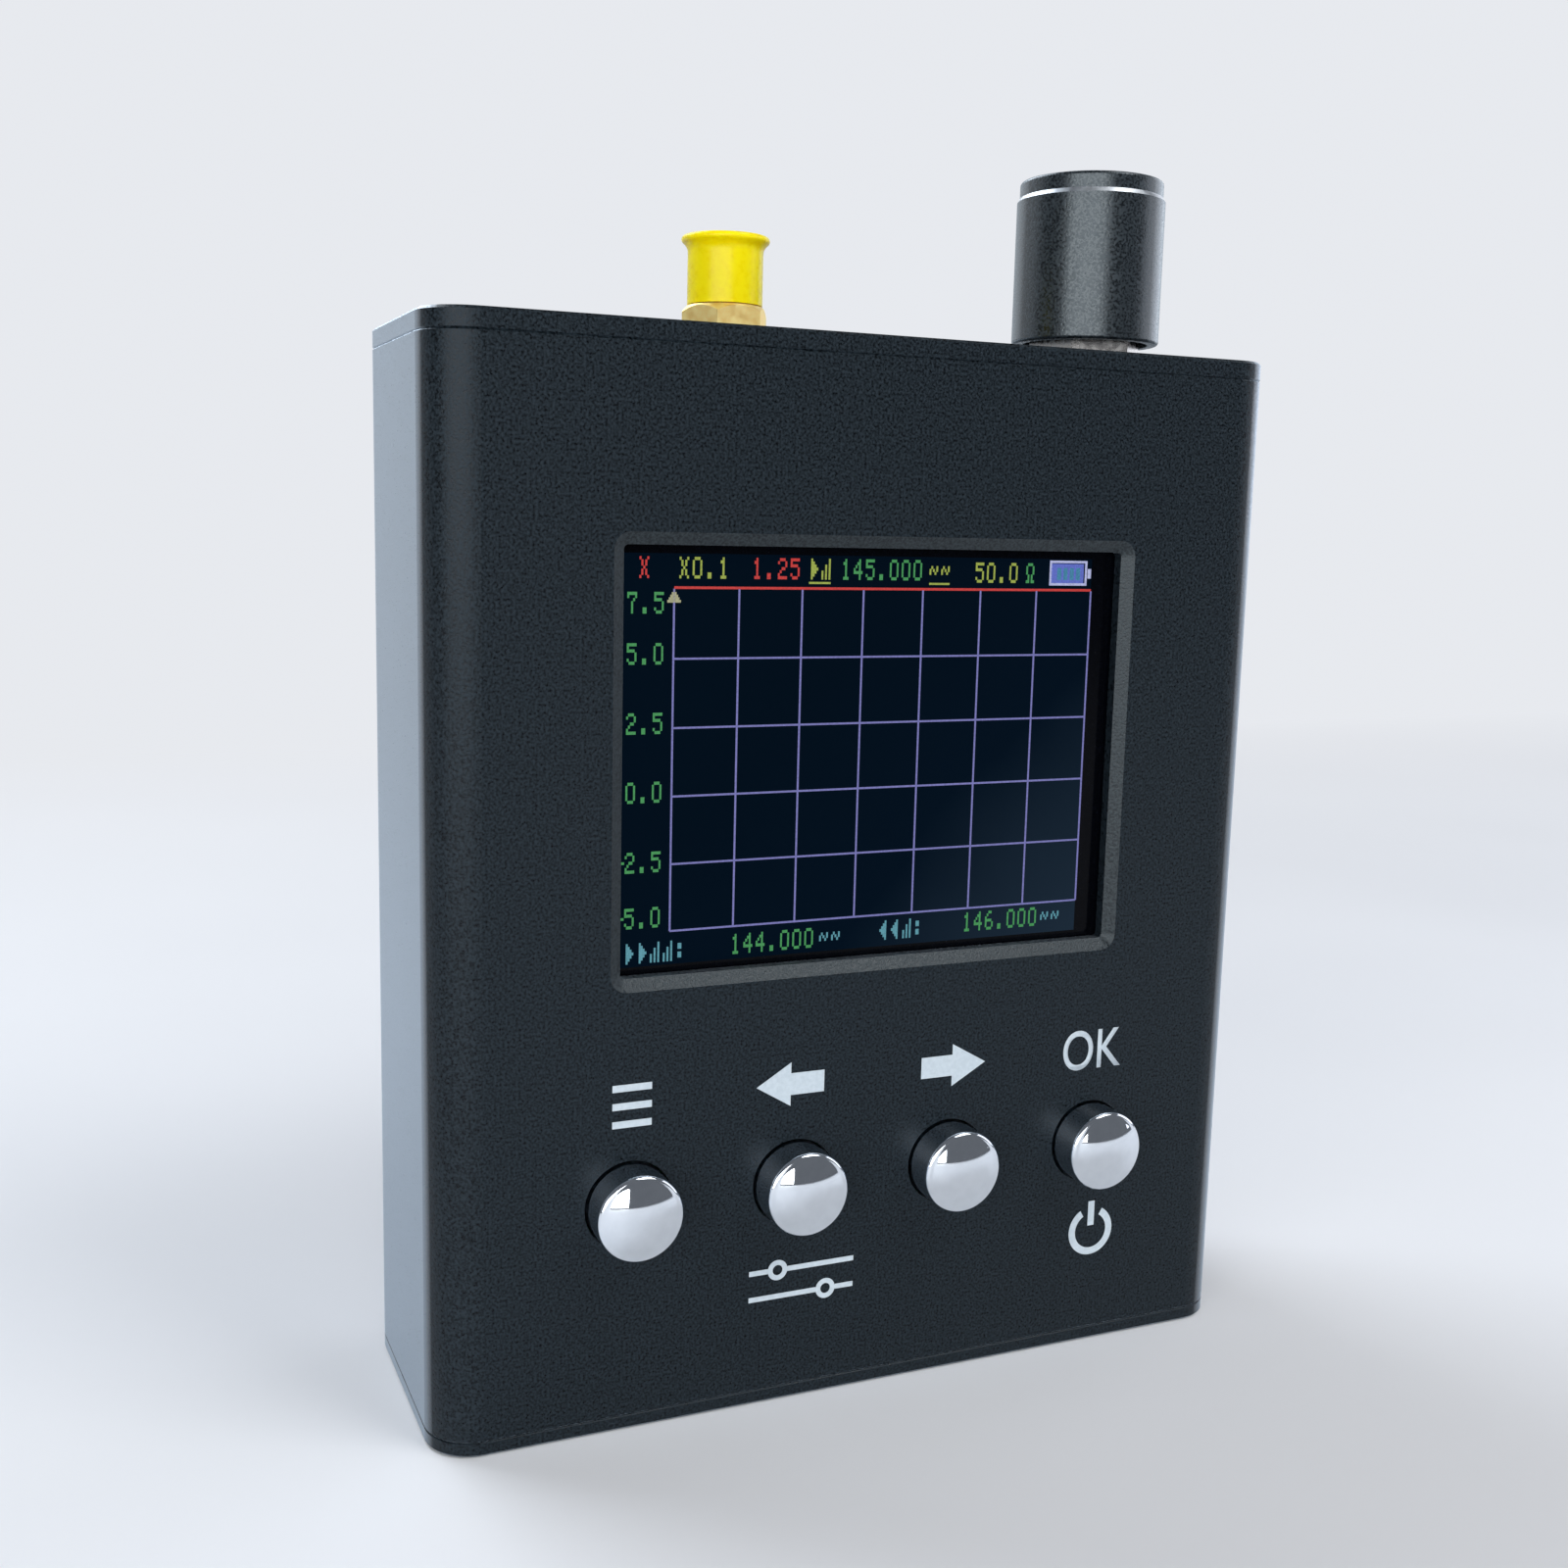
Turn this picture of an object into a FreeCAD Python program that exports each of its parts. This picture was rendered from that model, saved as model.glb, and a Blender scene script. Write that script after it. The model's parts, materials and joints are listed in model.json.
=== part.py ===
import FreeCAD, Part
import math
import os

Vector = FreeCAD.Vector

# Hand-held antenna analyzer, in millimetres.
# The origin is the centre of the base face, the front faces -Y, and +Z is up.

# Case: an extruded tube, closed by two end plates of the same outline
case_width = 84.0
case_depth = 27.6
tube_height = 96.1
corner_radius = 4.4
wall = 1.8
top_plate_thickness = 1.8
bottom_plate_thickness = 1.4
edge_break = 0.25
seam_break = 0.12

# Screws of the end plates, driven into channels along the tube's corners
screw_diameter = 2.5
screw_head_diameter = 4.4
screw_head_height = 1.1
screw_length = 7.0
screw_clearance = 0.05
screw_hole_clearance = 0.2
screw_head_recess = 0.1
channel_wall = 1.45
cross_slot_length = 2.2
cross_slot_width = 0.5
cross_slot_depth = 0.6

# Card slots in the side walls, which hold the main board
board_thickness = 1.6
board_setback = 5.4
board_end_gap = 1.0
board_side_gap = 0.3
slot_clearance = 0.1
rib_thickness = 1.2
rib_reach = 2.2

# Display and its window; the active area is that of a 2.4 inch panel
active_width = 48.96
active_height = 36.72
active_centre_x = -1.74
active_centre_z = 61.43
glass_border_left = 2.6
glass_side_room = 3.5
glass_border_ends = 3.0
glass_thickness = 1.2
backlight_thickness = 1.2
glass_ledge = 3.0
window_width = 50.3
window_height = 38.1
window_centre_z = 61.48
window_corner_radius = 0.45
bevel_width = 1.1
bevel_depth = 0.75
gasket_thickness = 0.3
gasket_width = 2.0
gasket_inset = 0.4
holder_wall = 1.0
holder_floor_width = 5.0
holder_clearance = 0.15
ribbon_thickness = 0.2
ribbon_width = 22.0
ribbon_landing = 3.5
ribbon_bend_room = 0.6

# Keys
key_count = 4
key_pitch = 16.2
key_centre_z = 21.6
key_diameter = 8.0
key_hole_clearance = 0.2
key_side_height = 3.3
key_dome_height = 1.1
key_edge_round = 0.45
key_skirt = 2.8
key_bore_depth = 3.6
key_travel = 0.3
switch_size = 6.0
switch_height = 3.4
stem_diameter = 3.4
stem_flange_diameter = 4.4
stem_flange_thickness = 0.6
stem_clearance = 0.05
stem_fit = 0.02
switch_roof = 0.5

# RF port: a threaded barrel through the top plate
rf_x = -11.3
thread_diameter = 6.35
thread_pitch = 0.706
thread_depth = 0.38
barrel_height = 7.9
barrel_hole_clearance = 0.1
barrel_flange_flats = 8.0
barrel_flange_height = 2.0
barrel_tail_diameter = 5.6
barrel_tail_length = 4.0
barrel_mouth_diameter = 4.6
barrel_mouth_depth = 1.9
insulator_diameter = 4.1
contact_diameter = 1.27
contact_bore_diameter = 0.94
contact_bore_depth = 2.4
fit_clearance = 0.02
rf_washer_diameter = 8.8
rf_washer_thickness = 0.4
rf_nut_flats = 7.3
rf_nut_height = 2.6
nut_hole_clearance = 0.05

# Dust cap, pushed over the barrel
cap_seat_gap = 0.1
cap_clearance = 0.05
cap_wall = 0.28
cap_roof = 0.75
cap_ceiling_gap = 0.2
cap_rim_diameter = 8.2
cap_flare_height = 0.9
cap_lip_radius = 0.36
cap_dish_depth = 0.45
cap_dish_slope = 0.5

# Coaxial lead from the RF port down to the board
coax_diameter = 1.2
coax_plug_diameter = 3.0
coax_plug_height = 1.7
coax_straight = 4.5
coax_drop = 6.0

# Rotary encoder, its nut, and the knob
knob_x = 28.2
encoder_width = 12.4
encoder_depth = 11.0
encoder_floor = 1.0
encoder_roof = 2.0
encoder_cavity_diameter = 8.4
bush_diameter = 7.0
bush_height = 5.0
bush_hole_clearance = 0.15
encoder_washer_diameter = 13.6
encoder_washer_thickness = 0.5
encoder_nut_flats = 10.0
encoder_nut_height = 2.0
encoder_nut_turn = 45.0
shaft_diameter = 6.0
shaft_clearance = 0.04
shaft_collar_diameter = 7.6
shaft_collar_height = 1.0
shaft_collar_gap = 0.25
shaft_flat_depth = 1.5
shaft_flat_length = 9.0
shaft_rest_gap = 0.05
press_travel = 0.5
push_plate_thickness = 1.0
push_plate_diameter = 7.6
knob_diameter = 14.8
knob_gap = 1.9
knob_height = 15.9
knob_cut_height = 13.9
knob_cut_inset = 0.25
knob_cut_rise = 0.42
knob_top_round = 0.35
knob_foot_round = 0.3
knob_recess_diameter = 12.6
knob_recess_room = 0.45
knob_bore_depth = 12.0
knob_screw_diameter = 3.0
knob_screw_height = 7.0
knob_screw_inset = 0.9

# Charging socket and charge light, which reach up through the top plate
usb_x = 8.6
usb_width = 7.7
usb_thickness = 3.95
usb_length = 9.2
usb_wall = 0.35
usb_corner_cut = 1.0
usb_clearance = 0.3
usb_mouth_recess = 0.3
tongue_width = 5.0
tongue_thickness = 1.3
tongue_inset = 1.2
light_x = 0.0
light_diameter = 2.0
light_length = 4.6
light_recess = 0.1

# Shield can and chips on the back of the board
can_width = 30.0
can_height = 24.0
can_depth = 3.0
can_wall = 0.3
can_centre_x = -14.0
can_centre_z = 58.0
chip_size = 10.0
chip_thickness = 1.4
small_chip_size = 4.6
coil_size = 6.0
coil_height = 2.6
led_size = 1.6
led_height = 0.8

# Battery, glued to the inside of the back wall
battery_width = 46.0
battery_height = 54.0
battery_thickness = 8.0
battery_round = 2.2
battery_centre_x = -4.0
battery_foot_z = 14.0
strip_height = 4.0
strip_thickness = 4.0
strip_inset = 3.0
pad_thickness = 1.0
pad_inset = 6.0
lead_diameter = 1.2
lead_spacing = 2.0
lead_x = 12.0
lead_rise = 6.5
lead_crown = 3.6
lead_drop = 4.5
header_width = 7.6
header_length = 6.0
header_thickness = 4.0

# Places worked out from the sizes above
front_y = -case_depth / 2
back_y = case_depth / 2
inner_front_y = front_y + wall
inner_back_y = back_y - wall
inner_side_x = case_width / 2 - wall
tube_bottom_z = bottom_plate_thickness
tube_top_z = tube_bottom_z + tube_height
top_z = tube_top_z + top_plate_thickness
port_y = 0.0
channel_x = case_width / 2 - corner_radius
channel_y = case_depth / 2 - corner_radius
channel_hole_radius = screw_diameter / 2 + screw_clearance
channel_radius = screw_diameter / 2 + channel_wall
board_front_y = inner_front_y + board_setback
board_back_y = board_front_y + board_thickness
board_half_width = inner_side_x - board_side_gap
board_bottom_z = tube_bottom_z + board_end_gap
board_top_z = tube_top_z - board_end_gap
glass_left_x = active_centre_x - active_width / 2 - glass_border_left
glass_right_x = channel_x - channel_radius - glass_side_room
glass_bottom_z = active_centre_z - active_height / 2 - glass_border_ends
glass_top_z = active_centre_z + active_height / 2 + glass_border_ends
glass_front_y = inner_front_y + gasket_thickness
glass_back_y = glass_front_y + glass_thickness
backlight_back_y = glass_back_y + backlight_thickness
key_radius = key_diameter / 2
key_xs = [key_pitch * (index - (key_count - 1) / 2) for index in range(key_count)]
key_shoulder_y = front_y - key_side_height
key_apex_y = key_shoulder_y - key_dome_height
key_rear_y = front_y + key_skirt
switch_front_y = board_front_y - switch_height
thread_radius = thread_diameter / 2
barrel_top_z = top_z + barrel_height
barrel_tail_z = tube_top_z - barrel_flange_height - barrel_tail_length
rf_nut_bottom_z = top_z + rf_washer_thickness
rf_nut_top_z = rf_nut_bottom_z + rf_nut_height
cavity_top_z = tube_top_z - encoder_roof
bush_top_z = tube_top_z + bush_height
encoder_nut_bottom_z = top_z + encoder_washer_thickness
shaft_radius = shaft_diameter / 2
collar_top_z = cavity_top_z - shaft_collar_gap
shaft_bottom_z = collar_top_z - shaft_collar_height
push_plate_top_z = shaft_bottom_z - shaft_rest_gap
push_plate_bottom_z = push_plate_top_z - push_plate_thickness
cavity_bottom_z = push_plate_bottom_z - press_travel - shaft_collar_gap
encoder_bottom_z = cavity_bottom_z - encoder_floor
knob_bottom_z = top_z + knob_gap
knob_top_z = knob_bottom_z + knob_height
knob_recess_z = bush_top_z + press_travel + knob_recess_room
knob_bore_top_z = knob_bottom_z + knob_bore_depth
shaft_top_z = knob_bore_top_z - shaft_rest_gap
usb_y = board_back_y + usb_thickness / 2
usb_top_z = top_z - usb_mouth_recess
battery_back_y = inner_back_y - pad_thickness
battery_front_y = battery_back_y - battery_thickness
battery_top_z = battery_foot_z + battery_height
strip_top_z = battery_top_z + strip_height


def box(x0, x1, y0, y1, z0, z1):
    """Block between two corners."""
    return Part.makeBox(x1 - x0, y1 - y0, z1 - z0, Vector(x0, y0, z0))


def upright(x, y, z0, z1, radius):
    """Cylinder along Z."""
    return Part.makeCylinder(radius, z1 - z0, Vector(x, y, z0))


def inward(x, z, y0, y1, radius):
    """Cylinder along Y, from the front towards the back."""
    return Part.makeCylinder(radius, y1 - y0, Vector(x, y0, z), Vector(0, 1, 0))


def bend(centre, radius, start_angle, end_angle):
    """Middle and end point of an arc in an outline, with angles in degrees."""
    def at(angle):
        turn = math.radians(angle)
        return (centre[0] + radius * math.cos(turn), centre[1] + radius * math.sin(turn))
    return at((start_angle + end_angle) / 2), at(end_angle)


def outline_face(start, steps, place):
    """Face inside a closed outline. A step is a point, or the middle and end of an arc."""
    edges = []
    here = start
    for step in steps:
        if isinstance(step[0], tuple):
            middle, end = step
            edges.append(Part.Arc(place(*here), place(*middle), place(*end)).toShape())
        else:
            end = step
            edges.append(Part.LineSegment(place(*here), place(*end)).toShape())
        here = end
    if math.dist(here, start) > 1e-6:
        edges.append(Part.LineSegment(place(*here), place(*start)).toShape())
    return Part.Face(Part.Wire(edges))


def rounded_face(centre_u, centre_v, width, height, radius, place):
    """Rectangle with round corners, on the plane that place gives."""
    left, right = centre_u - width / 2, centre_u + width / 2
    low, high = centre_v - height / 2, centre_v + height / 2
    return outline_face((left + radius, low), [
        (right - radius, low),
        bend((right - radius, low + radius), radius, -90, 0),
        (right, high - radius),
        bend((right - radius, high - radius), radius, 0, 90),
        (left + radius, high),
        bend((left + radius, high - radius), radius, 90, 180),
        (left, low + radius),
        bend((left + radius, low + radius), radius, 180, 270),
    ], place)


def slab(width, depth, radius, z0, z1):
    """Upright slab of rounded outline, centred on the Z axis."""
    face = rounded_face(0, 0, width, depth, radius, lambda u, v: Vector(u, v, z0))
    return face.extrude(Vector(0, 0, z1 - z0))


def panel(centre_x, centre_z, width, height, radius, y0, y1):
    """Rounded panel that faces the front."""
    face = rounded_face(centre_x, centre_z, width, height, radius, lambda u, v: Vector(u, y0, v))
    return face.extrude(Vector(0, y1 - y0, 0))


def turned(x, y, start, steps):
    """Solid turned about an upright axis, from an outline of (radius, height) points."""
    face = outline_face(start, steps, lambda r, z: Vector(x + r, y, z))
    return face.revolve(Vector(x, y, 0), Vector(0, 0, 1), 360)


def hexagon(x, y, z0, z1, flats, turn):
    """Upright hexagonal prism, given its width across flats."""
    corner = flats / math.sqrt(3)
    points = []
    for index in range(7):
        angle = math.radians(turn + 60 * index)
        points.append(Vector(x + corner * math.cos(angle), y + corner * math.sin(angle), z0))
    return Part.Face(Part.makePolygon(points)).extrude(Vector(0, 0, z1 - z0))


def chamfer_outer_rim(shape, z, size):
    """Break the outer edge of a case plate at one height."""
    rim = []
    for edge in shape.Edges:
        box_of_edge = edge.BoundBox
        flat = abs(box_of_edge.ZMin - z) < 1e-6 and abs(box_of_edge.ZMax - z) < 1e-6
        reach_x = max(abs(box_of_edge.XMin), abs(box_of_edge.XMax))
        reach_y = max(abs(box_of_edge.YMin), abs(box_of_edge.YMax))
        outer = reach_x > case_width / 2 - 1e-6 or reach_y > case_depth / 2 - 1e-6
        if flat and outer:
            rim.append(edge)
    return shape.makeChamfer(size, rim)


def soft_tube(name, points, diameter):
    """Lead along straight runs joined by arcs that are as large as the runs allow."""
    edges = []
    here = points[0]
    length = 0.0
    for before, corner, after in zip(points, points[1:], points[2:]):
        into = (corner - before).normalize()
        out = (after - corner).normalize()
        half_turn = into.getAngle(out) / 2
        shorter = min((corner - before).Length, (after - corner).Length)
        reach = 0.45 * shorter
        radius = reach / math.tan(half_turn)
        start = corner - into * reach
        end = corner + out * reach
        inner = (out - into).normalize()
        centre = corner + inner * (radius / math.cos(half_turn))
        middle = centre - inner * radius
        edges.append(Part.LineSegment(here, start).toShape())
        edges.append(Part.Arc(start, middle, end).toShape())
        length += (start - here).Length + 2 * half_turn * radius
        print(name, "bend radius", round(radius, 2), "turn", round(math.degrees(2 * half_turn)))
        here = end
    edges.append(Part.LineSegment(here, points[-1]).toShape())
    length += (points[-1] - here).Length
    direction = (points[1] - points[0]).normalize()
    ring = Part.Wire([Part.makeCircle(diameter / 2, points[0], direction)])
    tube = Part.Wire(edges).makePipeShell([ring], True, False)
    expected = math.pi * diameter ** 2 / 4 * length
    print(name, "length", round(length, 2), "volume over section times length",
          round(tube.Volume / expected, 4))
    return tube


# Case
def corner_places():
    """Centres of the four corner arcs, where the screw channels run."""
    return [(sx * channel_x, sy * channel_y) for sx in (-1, 1) for sy in (-1, 1)]


def window_cut():
    """Bevelled opening: a funnel at the outside, then straight through the wall."""
    proud = 0.5

    def outline(y, grow):
        face = rounded_face(0, window_centre_z, window_width + 2 * grow,
                            window_height + 2 * grow, window_corner_radius + grow,
                            lambda u, v: Vector(u, y, v))
        return face.OuterWire

    outer = outline(front_y - proud, bevel_width * (1 + proud / bevel_depth))
    inner = outline(front_y + bevel_depth, 0)
    funnel = Part.makeLoft([outer, inner], True, True)
    hole = panel(0, window_centre_z, window_width, window_height, window_corner_radius,
                 front_y - proud, inner_front_y + proud)
    return funnel.fuse(hole)


def case_body():
    """Extruded tube with screw channels and card slots, then machined at the front."""
    tube = slab(case_width, case_depth, corner_radius, tube_bottom_z, tube_top_z)
    for end_z in (tube_bottom_z, tube_top_z):
        tube = chamfer_outer_rim(tube, end_z, seam_break)
    inner_radius = max(corner_radius - wall, 0.5)
    tube = tube.cut(slab(case_width - 2 * wall, case_depth - 2 * wall, inner_radius,
                         tube_bottom_z, tube_top_z))
    added = []
    for x, y in corner_places():
        added.append(upright(x, y, tube_bottom_z, tube_top_z, channel_radius))
    for side in (-1, 1):
        root = side * (inner_side_x + wall / 2)
        tip = side * (inner_side_x - rib_reach)
        x0, x1 = min(root, tip), max(root, tip)
        front_rib = board_front_y - slot_clearance
        back_rib = board_back_y + slot_clearance
        added.append(box(x0, x1, front_rib - rib_thickness, front_rib, tube_bottom_z, tube_top_z))
        added.append(box(x0, x1, back_rib, back_rib + rib_thickness, tube_bottom_z, tube_top_z))
    tube = tube.fuse(added)
    cuts = [window_cut()]
    for x, y in corner_places():
        cuts.append(upright(x, y, tube_bottom_z, tube_top_z, channel_hole_radius))
    for x in key_xs:
        cuts.append(inward(x, key_centre_z, front_y - 1, inner_front_y + 1,
                           key_radius + key_hole_clearance))
    return tube.cut(cuts).removeSplitter()


def screw_place(x, y, plate_face_z, outward):
    """Placement that points a screw's head along outward, 1 for up and -1 for down."""
    turn = 0 if outward > 0 else 180
    height = plate_face_z - outward * screw_head_recess
    return FreeCAD.Placement(Vector(x, y, height), FreeCAD.Rotation(Vector(1, 0, 0), turn))


def countersunk_screw():
    """Screw with its head's flat face at the origin and its shank below."""
    head_radius = screw_head_diameter / 2
    shank_radius = screw_diameter / 2
    screw = turned(0, 0, (0, 0), [
        (head_radius, 0),
        (shank_radius, -screw_head_height),
        (shank_radius, -screw_length + shank_radius / 2),
        (shank_radius / 2, -screw_length),
        (0, -screw_length),
    ])
    half = cross_slot_length / 2
    width = cross_slot_width / 2
    slots = [
        box(-half, half, -width, width, -cross_slot_depth, 1),
        box(-width, width, -half, half, -cross_slot_depth, 1),
    ]
    return screw.cut(slots)


def screw_hole(plate_thickness):
    """Countersunk clearance hole, in the screw's own frame."""
    head_radius = screw_head_diameter / 2 + screw_clearance
    hole_radius = screw_diameter / 2 + screw_hole_clearance
    slope = (screw_head_diameter - screw_diameter) / 2 / screw_head_height
    cone_end = (head_radius - hole_radius) / slope
    return turned(0, 0, (0, plate_thickness), [
        (head_radius, plate_thickness),
        (head_radius, 0),
        (hole_radius, -cone_end),
        (hole_radius, -2 * plate_thickness),
        (0, -2 * plate_thickness),
    ])


def placed_at_corners(shape, plate_face_z, outward):
    """One copy of a screw-shaped solid for each corner."""
    copies = []
    for x, y in corner_places():
        copy = shape.copy()
        copy.Placement = screw_place(x, y, plate_face_z, outward)
        copies.append(copy)
    return copies


def usb_outline(grow):
    """Outline of the charging socket's shell, with two corners cut off."""
    half = usb_width / 2 + grow
    low = usb_y - usb_thickness / 2 - grow
    high = usb_y + usb_thickness / 2 + grow
    cut = usb_corner_cut
    return [(usb_x - half, low), (usb_x + half, low), (usb_x + half, high - cut),
            (usb_x + half - cut, high), (usb_x - half + cut, high), (usb_x - half, high - cut)]


def usb_prism(grow, z0, z1):
    """Upright prism on the socket's outline."""
    corners = usb_outline(grow)
    face = outline_face(corners[0], corners[1:], lambda u, v: Vector(u, v, z0))
    return face.extrude(Vector(0, 0, z1 - z0))


def top_end_plate():
    """Top plate with holes for the ports, the encoder, the light and the screws."""
    plate = slab(case_width, case_depth, corner_radius, tube_top_z, top_z)
    plate = chamfer_outer_rim(plate, top_z, edge_break)
    plate = chamfer_outer_rim(plate, tube_top_z, seam_break)
    low, high = tube_top_z - 1, top_z + 1
    cuts = placed_at_corners(screw_hole(top_plate_thickness), top_z, 1)
    cuts.append(upright(rf_x, port_y, low, high, thread_radius + barrel_hole_clearance))
    cuts.append(upright(knob_x, port_y, low, high, bush_diameter / 2 + bush_hole_clearance))
    cuts.append(upright(light_x, usb_y, low, high, light_diameter / 2 + fit_clearance))
    cuts.append(usb_prism(usb_clearance, low, high))
    return plate.cut(cuts)


def bottom_end_plate():
    """Bottom plate, which the analyzer stands on."""
    plate = slab(case_width, case_depth, corner_radius, 0, tube_bottom_z)
    plate = chamfer_outer_rim(plate, 0, edge_break)
    plate = chamfer_outer_rim(plate, tube_bottom_z, seam_break)
    return plate.cut(placed_at_corners(screw_hole(bottom_plate_thickness), 0, -1))


# Display
def display_gasket():
    """Foam frame between the front wall and the glass."""
    width = window_width + 2 * gasket_inset
    height = window_height + 2 * gasket_inset
    outer = panel(0, window_centre_z, width + 2 * gasket_width, height + 2 * gasket_width,
                  window_corner_radius + gasket_width, inner_front_y, glass_front_y)
    return outer.cut(panel(0, window_centre_z, width, height, window_corner_radius,
                           inner_front_y - 1, glass_front_y + 1))


def display_glass():
    """Glass of the display."""
    return box(glass_left_x, glass_right_x, glass_front_y, glass_back_y,
               glass_bottom_z, glass_top_z)


def display_backlight():
    """Back-light tray behind the glass, short of the ledge that carries the ribbon."""
    tray = box(glass_left_x, glass_right_x - glass_ledge, glass_back_y, backlight_back_y,
               glass_bottom_z, glass_top_z)
    corners = [edge for edge in tray.Edges
               if abs(edge.BoundBox.YMax - backlight_back_y) < 1e-6
               and abs(edge.BoundBox.YMin - backlight_back_y) < 1e-6]
    return tray.makeChamfer(backlight_thickness / 4, corners)


def display_holder():
    """Plastic tray that carries the display in front of the board."""
    reach = holder_clearance + holder_wall
    outer = box(glass_left_x - reach, glass_right_x + reach, glass_front_y + glass_thickness / 2,
                board_front_y, glass_bottom_z - reach, glass_top_z + reach)
    pocket = box(glass_left_x - holder_clearance, glass_right_x + holder_clearance,
                 glass_front_y - 1, backlight_back_y,
                 glass_bottom_z - holder_clearance, glass_top_z + holder_clearance)
    floor_hole = box(glass_left_x + holder_floor_width, glass_right_x - holder_floor_width,
                     backlight_back_y - 1, board_front_y + 1,
                     glass_bottom_z + holder_floor_width, glass_top_z - holder_floor_width)
    gap = ribbon_width / 2 + ribbon_thickness
    notch = box(glass_right_x - holder_floor_width - 1, glass_right_x + reach + 1,
                glass_back_y - ribbon_thickness, board_front_y + 1,
                active_centre_z - gap, active_centre_z + gap)
    return outer.cut([pocket, floor_hole, notch])


def display_ribbon():
    """Flat ribbon bonded behind the glass ledge and folded back onto the board."""
    upper = glass_back_y
    lower = board_front_y
    outer_radius = (lower - upper) / 2
    inner_radius = outer_radius - ribbon_thickness
    centre_y = (upper + lower) / 2
    turn_x = glass_right_x + ribbon_bend_room
    start_x = glass_right_x - glass_ledge + ribbon_thickness
    landing_x = turn_x - ribbon_landing
    face = outline_face((start_x, upper), [
        (turn_x, upper),
        bend((turn_x, centre_y), outer_radius, -90, 90),
        (landing_x, lower),
        (landing_x, lower - ribbon_thickness),
        (turn_x, lower - ribbon_thickness),
        bend((turn_x, centre_y), inner_radius, 90, -90),
        (start_x, upper + ribbon_thickness),
    ], lambda u, v: Vector(u, v, active_centre_z - ribbon_width / 2))
    return face.extrude(Vector(0, 0, ribbon_width))


# Board
def main_board():
    """Circuit board in the card slots."""
    return box(-board_half_width, board_half_width, board_front_y, board_back_y,
               board_bottom_z, board_top_z)


def board_chips():
    """Processor, charger, small chips, coil and light source on the back of the board."""
    chips = []
    below_can_z = can_centre_z - can_height / 2

    def chip(x, z, size, height):
        chips.append(box(x - size / 2, x + size / 2, board_back_y, board_back_y + height,
                         z - size / 2, z + size / 2))

    chip(can_centre_x, below_can_z - chip_size, chip_size, chip_thickness)
    chip(can_centre_x - 1.5 * chip_size, below_can_z - chip_size, small_chip_size,
         chip_thickness)
    chip(can_centre_x + 1.5 * chip_size, below_can_z - chip_size, small_chip_size,
         chip_thickness)
    chip(can_centre_x + 2.5 * chip_size, below_can_z - chip_size, coil_size, coil_height)
    light_bottom_z = top_z - light_recess - light_length
    chips.append(box(light_x - led_size / 2, light_x + led_size / 2,
                     board_back_y, board_back_y + usb_thickness / 2 + led_size / 2,
                     light_bottom_z - led_height, light_bottom_z))
    return Part.makeCompound(chips)


def shield_can():
    """Sheet-metal can over the radio circuit, open towards the board."""
    x0, x1 = can_centre_x - can_width / 2, can_centre_x + can_width / 2
    z0, z1 = can_centre_z - can_height / 2, can_centre_z + can_height / 2
    can = box(x0, x1, board_back_y, board_back_y + can_depth, z0, z1)
    return can.cut(box(x0 + can_wall, x1 - can_wall, board_back_y - 1,
                       board_back_y + can_depth - can_wall, z0 + can_wall, z1 - can_wall))


# Keys
def key_switch(x):
    """Push switch on the front of the board, hollow for its stem."""
    half = switch_size / 2
    body = box(x - half, x + half, switch_front_y, board_front_y,
               key_centre_z - half, key_centre_z + half)
    roof_y = switch_front_y + switch_roof
    cavity_end = roof_y + stem_flange_thickness + 2 * stem_clearance + 2 * key_travel
    cavity = inward(x, key_centre_z, roof_y, cavity_end,
                    stem_flange_diameter / 2 + stem_clearance)
    mouth = inward(x, key_centre_z, switch_front_y - 1, roof_y + stem_clearance,
                   stem_diameter / 2 + stem_clearance)
    return body.cut([cavity, mouth])


def key_stem(x):
    """Stem that carries the cap and is kept in the switch by its flange."""
    bore_end_y = key_rear_y - key_bore_depth
    flange_y = switch_front_y + switch_roof + stem_clearance
    shank = inward(x, key_centre_z, bore_end_y, flange_y + stem_flange_thickness,
                   stem_diameter / 2)
    flange = inward(x, key_centre_z, flange_y, flange_y + stem_flange_thickness,
                    stem_flange_diameter / 2)
    return shank.fuse(flange).removeSplitter()


def key_cap(x):
    """Domed metal cap, pushed on the stem through its hole in the case."""
    sphere_radius = (key_radius ** 2 + key_dome_height ** 2) / (2 * key_dome_height)
    crown_y = key_apex_y + sphere_radius
    half_angle = math.asin(key_radius / sphere_radius) / 2
    dome_middle = (sphere_radius * math.sin(half_angle),
                   crown_y - sphere_radius * math.cos(half_angle))
    bore_radius = stem_diameter / 2 + stem_fit
    bore_end_y = key_rear_y - key_bore_depth
    face = outline_face((bore_radius, key_rear_y), [
        (key_radius, key_rear_y),
        (key_radius, key_shoulder_y),
        (dome_middle, (0.0, key_apex_y)),
        (0.0, bore_end_y),
        (bore_radius, bore_end_y),
    ], lambda r, y: Vector(x + r, y, key_centre_z))
    cap = face.revolve(Vector(x, 0, key_centre_z), Vector(0, 1, 0), 360)
    shoulder = [edge for edge in cap.Edges
                if abs(edge.BoundBox.YMin - key_shoulder_y) < 1e-6
                and abs(edge.BoundBox.YMax - key_shoulder_y) < 1e-6]
    return cap.makeFillet(key_edge_round, shoulder)


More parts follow.
